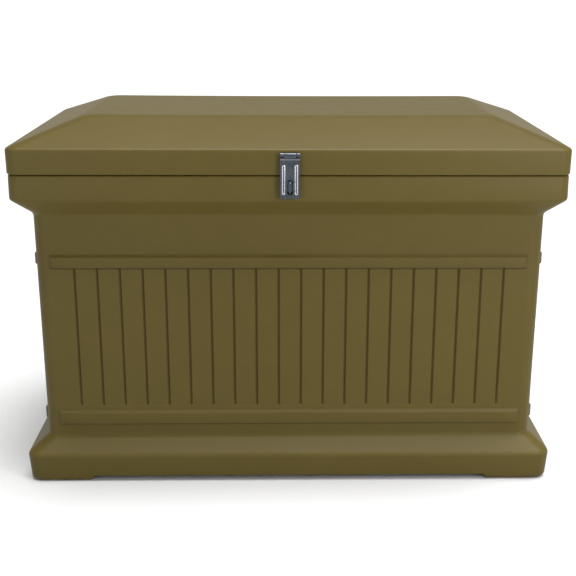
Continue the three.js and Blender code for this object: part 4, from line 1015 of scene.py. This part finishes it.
def shoulder_screw_blocks(h, end):
    """A shoulder screw: a plain domed head, a shoulder and a short shank."""
    outward = -X * SIDES[end]
    node = f"{end}_stay_shoulder_screw"
    top, whole = measured(node, outward)
    low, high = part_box(node)
    head, shoulder, tall, tail = (high.z - low.z) / 2, 4 * MM, 2.2 * MM, 5.5 * MM
    profile = np.vstack([
        domed_profile(head, tall, -tall),
        [(shoulder, -tall), (shoulder, tail - whole), (h.shank_radius, tail - whole),
         (h.shank_radius, MM - whole), (0.5 * h.shank_radius, -whole), (0, -whole)],
    ])
    across, up = side_of(outward)
    return [placed(turned(profile), top, across, up, outward)]


# ---- Materials ---------------------------------------------------------------------------------------

class Tree:
    """A new material's nodes, with short ways to add and join them."""

    def __init__(self, name):
        self.material = bpy.data.materials.new(name)
        self.material.use_nodes = True
        self.nodes, self.links = self.material.node_tree.nodes, self.material.node_tree.links
        self.shader = self.nodes["Principled BSDF"]
        self.place = self.nodes.new("ShaderNodeTexCoord").outputs["Object"]

    def add(self, kind, joins=(), **values):
        """A node of that kind, with values on its properties and joins of (input, socket)."""
        made = self.nodes.new(kind)
        for key, value in values.items():
            setattr(made, key, value)
        for key, socket in joins:
            self.links.new(socket, made.inputs[key])
        return made

    def noise(self, scale, detail=3.0, stretch=None):
        """Noise on the object's own coordinates, stretched by a scale on each axis."""
        place = self.place
        if stretch is not None:
            mapping = self.add("ShaderNodeMapping", [("Vector", place)])
            mapping.inputs["Scale"].default_value = stretch
            place = mapping.outputs["Vector"]
        made = self.add("ShaderNodeTexNoise", [("Vector", place)])
        made.inputs["Scale"].default_value = scale
        made.inputs["Detail"].default_value = detail
        return made.outputs["Fac"]

    def mapped(self, socket, low, high, from_low=0.3, from_high=0.7):
        """A value moved from one range to another."""
        made = self.add("ShaderNodeMapRange", [("Value", socket)])
        for key, value in zip(("From Min", "From Max", "To Min", "To Max"), (from_low, from_high, low, high)):
            made.inputs[key].default_value = value
        return made.outputs["Result"]

    def mixed(self, share, first, second):
        """A blend of two colours by a share; each is a colour or a socket."""
        made = self.add("ShaderNodeMix", data_type="RGBA")
        self.links.new(share, made.inputs[0])
        for index, value in ((6, first), (7, second)):
            if isinstance(value, bpy.types.NodeSocket):
                self.links.new(value, made.inputs[index])
            else:
                made.inputs[index].default_value = (*value, 1)
        return made.outputs[2]

    def bumped(self, layers):
        """Bumps laid over each other, each (height socket, depth in metres), joined to the shader."""
        normal = None
        for height, depth in layers:
            joins = [("Height", height)] + ([("Normal", normal)] if normal else [])
            bump = self.add("ShaderNodeBump", joins)
            bump.inputs["Strength"].default_value = 1.0
            bump.inputs["Distance"].default_value = depth
            normal = bump.outputs["Normal"]
        self.links.new(normal, self.shader.inputs["Normal"])

    def join(self, socket, key):
        self.links.new(socket, self.shader.inputs[key])


def moulded_plastic(c):
    """Satin moulded plastic: broad and fine mottle, painted shade in the grooves and under the rails, a fine
    grain and long low waves in the skin."""
    tree = Tree("Moulded plastic")
    broad, mottle = tree.noise(2.6, 2.0), tree.noise(34.0, 5.0)
    both = tree.add("ShaderNodeMath", [(0, broad), (1, mottle)], operation="ADD").outputs[0]
    skin = tree.mixed(tree.mapped(both, 0, 1, 0.75, 1.25), tuple(c.plastic), tuple(c.plastic_light))
    # Painted shade: the 'shade' attribute darkens the plastic in the grooves and under the rails.
    shade = tree.add("ShaderNodeAttribute", attribute_name="shade").outputs["Fac"]
    tree.join(tree.mixed(tree.mapped(shade, 0, 0.75, 0.05, 0.9), skin, tuple(c.plastic_painted_shade)), "Base Color")
    tree.join(tree.mapped(mottle, 0.49, 0.53), "Roughness")
    tree.shader.inputs["IOR"].default_value = 1.5
    tree.shader.inputs["Specular IOR Level"].default_value = 0.2
    grain, fine_grain = tree.noise(150.0, 2.0), tree.noise(900.0, 2.0)
    tree.bumped([(broad, 1.2 * MM), (grain, 0.05 * MM), (fine_grain, 0.045 * MM)])
    return tree.material


def plated_steel(name, c, bright, dull, stretch, roughness):
    """Zinc-plated steel: cloudy plating, with a painted highlight on the crests of pressed ribs, and fine
    streaks along the rolling direction."""
    tree = Tree(name)
    cloud, speck = tree.noise(60.0, 3.0), tree.noise(420.0, 2.0)
    streak = tree.noise(60.0, 3.0, stretch)
    both = tree.add("ShaderNodeMath", [(0, cloud), (1, speck)], operation="ADD").outputs[0]
    plating = tree.mixed(tree.mapped(both, 0, 1, 0.6, 1.4), tuple(dull), tuple(bright))
    # Painted highlight: the 'shade' attribute lightens the plating on the crests of pressed ribs.
    shade = tree.add("ShaderNodeAttribute", attribute_name="shade").outputs["Fac"]
    tree.join(tree.mixed(tree.mapped(shade, 0, 1, 0.15, 0.95), plating, tuple(c.painted_rib_highlight)), "Base Color")
    tree.join(tree.mapped(streak, *roughness), "Roughness")
    tree.shader.inputs["Metallic"].default_value = 1.0
    tree.bumped([(streak, 0.01 * MM), (cloud, 0.02 * MM)])
    return tree.material


def pale_floor(c):
    """A matte pale floor with a barely visible unevenness."""
    tree = Tree("Pale floor")
    dimmed = tuple(v * 0.985 for v in c.floor)
    tree.join(tree.mixed(tree.noise(3.0), tuple(c.floor), dimmed), "Base Color")
    tree.shader.inputs["Roughness"].default_value = 0.85
    return tree.material


FINISHES = {}


def finish(key):
    """The finish of that name, made once from the scene's colours."""
    if key not in FINISHES:
        c = bpy.context.scene.drop_box_finishes
        makers = {
            "plastic": lambda: moulded_plastic(c),
            "zinc": lambda: plated_steel("Zinc plate", c, c.zinc, c.zinc_dull, (14, 14, 1), (0.22, 0.32)),
            "screw": lambda: plated_steel("Plated screws", c, c.screw, c.screw_dull, (6, 6, 6), (0.26, 0.38)),
            "floor": lambda: pale_floor(c),
        }
        FINISHES[key] = makers[key]()
    return FINISHES[key]


# ---- Operators ---------------------------------------------------------------------------------------

class MakeTub(bpy.types.Operator):
    """Make the moulded tub with its feet, rails and grooves"""

    bl_idname = "drop_box.tub"
    bl_label = "Tub"

    def execute(self, context):
        blocks, shades = tub_blocks(context.scene.drop_box_tub)
        stand_for("tub", "moulded", blocks, "plastic", shades, name="moulded_tub")
        return {"FINISHED"}


class MakeLid(bpy.types.Operator):
    """Make the moulded lid"""

    bl_idname = "drop_box.lid"
    bl_label = "Lid"

    def execute(self, context):
        blocks = lid_blocks(context.scene.drop_box_lid)
        stand_for("lid", "moulded", blocks, "plastic", name="moulded_lid")
        return {"FINISHED"}


class MakeHinges(bpy.types.Operator):
    """Make the three butt hinges with their pins and screws"""

    bl_idname = "drop_box.hinges"
    bl_label = "Hinges"

    def execute(self, context):
        h = context.scene.drop_box_hardware
        for place in HINGE_PLACES:
            for leaf, direction in (("lid", 1), ("tub", -1)):
                node = f"{place}_hinge_{leaf}_leaf"
                stand_for(node, "rolled", hinge_leaf_blocks(h, node, direction), "zinc")
                for end in ("a", "b"):
                    node = f"{place}_hinge_{leaf}_screw_{end}"
                    stand_for(node, "turned", screw_blocks(h, node, Y, h.screw_head_height), "screw")
            node = f"{place}_hinge_pin"
            low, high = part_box(node)
            middle = np.array((low + high) / 2)
            bar = placed(turned_bar(h.pin_radius, high.x - low.x, h.pin_edge), middle, Y, Z, X)
            stand_for(node, "turned", [bar], "screw")
        return {"FINISHED"}


class MakeHasp(bpy.types.Operator):
    """Make the hasp, its staple, backing plates, screws and nuts"""

    bl_idname = "drop_box.hasp"
    bl_label = "Hasp"

    def execute(self, context):
        h = context.scene.drop_box_hardware
        blocks, shades = hasp_leaf_blocks(h)
        stand_for("hasp_swing_leaf", "pressed", blocks, "zinc", shades)
        stand_for("hasp_fixed_leaf", "rolled", hasp_fixed_blocks(h), "zinc")
        stand_for("staple", "bent", staple_blocks(h), "zinc")
        low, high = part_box("hasp_pin")
        bar = turned_bar((high.z - low.z) / 2, high.x - low.x, h.fine_edge)
        stand_for("hasp_pin", "turned", [placed(bar, HASP_AXIS, Y, Z, X)], "screw")
        for part, head_height in (("hasp", h.hasp_screw_head_height), ("staple", h.screw_head_height)):
            node = f"{part}_backing_plate"
            stand_for(node, "stamped", backing_blocks(h, node), "zinc")
            for end in ("left", "right"):
                node = f"{part}_screw_{end}"
                stand_for(node, "turned", screw_blocks(h, node, -Y, head_height), "screw")
                node = f"{part}_nut_{end}"
                stand_for(node, "hex", nut_blocks(h, node), "screw")
        return {"FINISHED"}


class MakeStays(bpy.types.Operator):
    """Make the two slotted lid stays with their brackets, studs and screws"""

    bl_idname = "drop_box.stays"
    bl_label = "Lid Stays"

    def execute(self, context):
        h, lid = context.scene.drop_box_hardware, context.scene.drop_box_lid
        slope = (LID_HIGH.z - lid.eave) / lid.flat_inset
        for end, side in SIDES.items():
            stay = f"{end}_stay"
            stand_for(f"{stay}_arm", "stamped", stay_arm_blocks(h, end), "zinc")
            stand_for(f"{stay}_lid_bracket", "bent", stay_bracket_blocks(h, end, slope), "zinc")
            stand_for(f"{stay}_stud_plate", "stamped", stud_plate_blocks(h, end), "zinc")
            stand_for(f"{stay}_rivet", "set", stay_rivet_blocks(end), "screw")
            stand_for(f"{stay}_shoulder_screw", "turned", shoulder_screw_blocks(h, end), "screw")
            from_slope = -unit(np.array([side * slope, 0, 1]))
            for part, outward in (("bracket", from_slope), ("plate", -X * side)):
                for letter in ("a", "b"):
                    node = f"{stay}_{part}_screw_{letter}"
                    stand_for(node, "turned", screw_blocks(h, node, outward, h.screw_head_height), "screw")
        return {"FINISHED"}


class MakeStage(bpy.types.Operator):
    """Make the pale floor, the soft lights and the camera"""

    bl_idname = "drop_box.stage"
    bl_label = "Stage"

    def execute(self, context):
        s = context.scene.drop_box_stage
        self.add_floor()
        self.add_sky(s)
        self.add_overhead(s)
        for name, key, place, size in SOFTBOXES:
            self.add_softbox(name, getattr(s, key), place, size)
        self.add_camera(s)
        context.scene.view_settings.view_transform = "Standard"
        return {"FINISHED"}

    def add_floor(self):
        """A round floor of radius FLOOR_END, flat as far as FLOOR_FLAT. Beyond that its height is the square
        of the further distance over FLOOR_RISE, so that no horizon shows."""
        reach = np.concatenate([np.linspace(0.5, FLOOR_FLAT, 6), np.linspace(30.0, FLOOR_END, 19)])[:, None]
        turn = np.linspace(2 * np.pi, 0, FLOOR_SIDES, endpoint=False)
        height = np.clip(reach - FLOOR_FLAT, 0, None) ** 2 / FLOOR_RISE
        level = np.broadcast_to(height, (len(reach), FLOOR_SIDES))
        points = np.stack([reach * np.cos(turn), reach * np.sin(turn), level], -1)
        mesh = bpy.data.meshes.new("floor")
        faces = ring_faces(*points.shape[:2]).tolist() + [list(range(FLOOR_SIDES))[::-1]]
        mesh.from_pydata(points.reshape(-1, 3), [], faces)
        mesh.polygons.foreach_set("use_smooth", np.ones(len(mesh.polygons), bool))
        floor = bpy.data.objects.new("floor", mesh)
        floor.data.materials.append(finish("floor"))
        bpy.context.scene.collection.objects.link(floor)

    def add_sky(self, s):
        world = bpy.data.worlds.new("Soft sky")
        world.use_nodes = True
        sky = world.node_tree.nodes["Background"]
        sky.inputs["Color"].default_value = (1, 1, 1, 1)
        sky.inputs["Strength"].default_value = s.sky
        bpy.context.scene.world = world

    def add_light(self, name, kind, energy, direction):
        """A light that shines along a direction, at the origin until it is moved."""
        light = bpy.data.lights.new(name, kind)
        light.energy = energy
        made = bpy.data.objects.new(name, light)
        made.rotation_mode = "QUATERNION"
        made.rotation_quaternion = direction.to_track_quat("-Z", "Y")
        bpy.context.scene.collection.objects.link(made)
        return made

    def add_overhead(self, s):
        made = self.add_light("Overhead", "SUN", s.overhead, OVERHEAD_DIRECTION)
        made.data.angle = s.overhead_width

    def add_softbox(self, name, watts, place, size):
        made = self.add_light(name, "AREA", watts, AIM - Vector(place))
        made.location = place
        made.data.shape = "RECTANGLE"
        made.data.size, made.data.size_y = size

    def add_camera(self, s):
        """The view direction is (sin yaw cos pitch, cos yaw cos pitch, -sin pitch), rolled about itself."""
        ahead = np.array([
            math.sin(s.yaw) * math.cos(s.pitch), math.cos(s.yaw) * math.cos(s.pitch), -math.sin(s.pitch),
        ])
        level = np.array([math.cos(s.yaw), -math.sin(s.yaw), 0])
        rise = np.cross(level, ahead)
        right = math.cos(s.roll) * level + math.sin(s.roll) * rise
        up = math.cos(s.roll) * rise - math.sin(s.roll) * level
        data = bpy.data.cameras.new("Camera")
        data.sensor_width = 36
        data.lens, data.shift_x = s.lens, s.shift
        data.clip_start, data.clip_end = 0.05, 1000
        camera = bpy.data.objects.new("Camera", data)
        turn = Matrix(np.column_stack([right, up, -ahead]).tolist())
        camera.matrix_world = Matrix.Translation(s.camera_place) @ turn.to_4x4()
        bpy.context.scene.collection.objects.link(camera)
        bpy.context.scene.camera = camera


# ---- Panel and registration --------------------------------------------------------------------------

OPERATORS = (MakeTub, MakeLid, MakeHinges, MakeHasp, MakeStays, MakeStage)
GROUPS = {
    "drop_box_tub": TubSizes,
    "drop_box_lid": LidSizes,
    "drop_box_hardware": HardwareSizes,
    "drop_box_finishes": Finishes,
    "drop_box_stage": StageSetup,
}


class DropBoxPanel(bpy.types.Panel):
    """Lists the drop box's sizes, colours and makers"""

    bl_idname = "VIEW3D_PT_drop_box"
    bl_label = "Parcel Drop Box"
    bl_space_type = "VIEW_3D"
    bl_region_type = "UI"
    bl_category = "Drop Box"

    def draw(self, context):
        for operator in OPERATORS:
            self.layout.operator(operator.bl_idname)
        for key, group in GROUPS.items():
            box = self.layout.box()
            box.label(text=group.__doc__)
            for name in group.__annotations__:
                box.prop(getattr(context.scene, key), name)


def register():
    for kind in (*GROUPS.values(), *OPERATORS, DropBoxPanel):
        bpy.utils.register_class(kind)
    for key, group in GROUPS.items():
        setattr(bpy.types.Scene, key, PointerProperty(type=group))


def unregister():
    for key in GROUPS:
        delattr(bpy.types.Scene, key)
    for kind in reversed((*GROUPS.values(), *OPERATORS, DropBoxPanel)):
        bpy.utils.unregister_class(kind)


def main():
    register()
    bpy.ops.drop_box.stage()
    bpy.ops.drop_box.tub()
    bpy.ops.drop_box.lid()
    bpy.ops.drop_box.hinges()
    bpy.ops.drop_box.hasp()
    bpy.ops.drop_box.stays()
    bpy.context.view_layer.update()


if __name__ == "__main__":
    main()
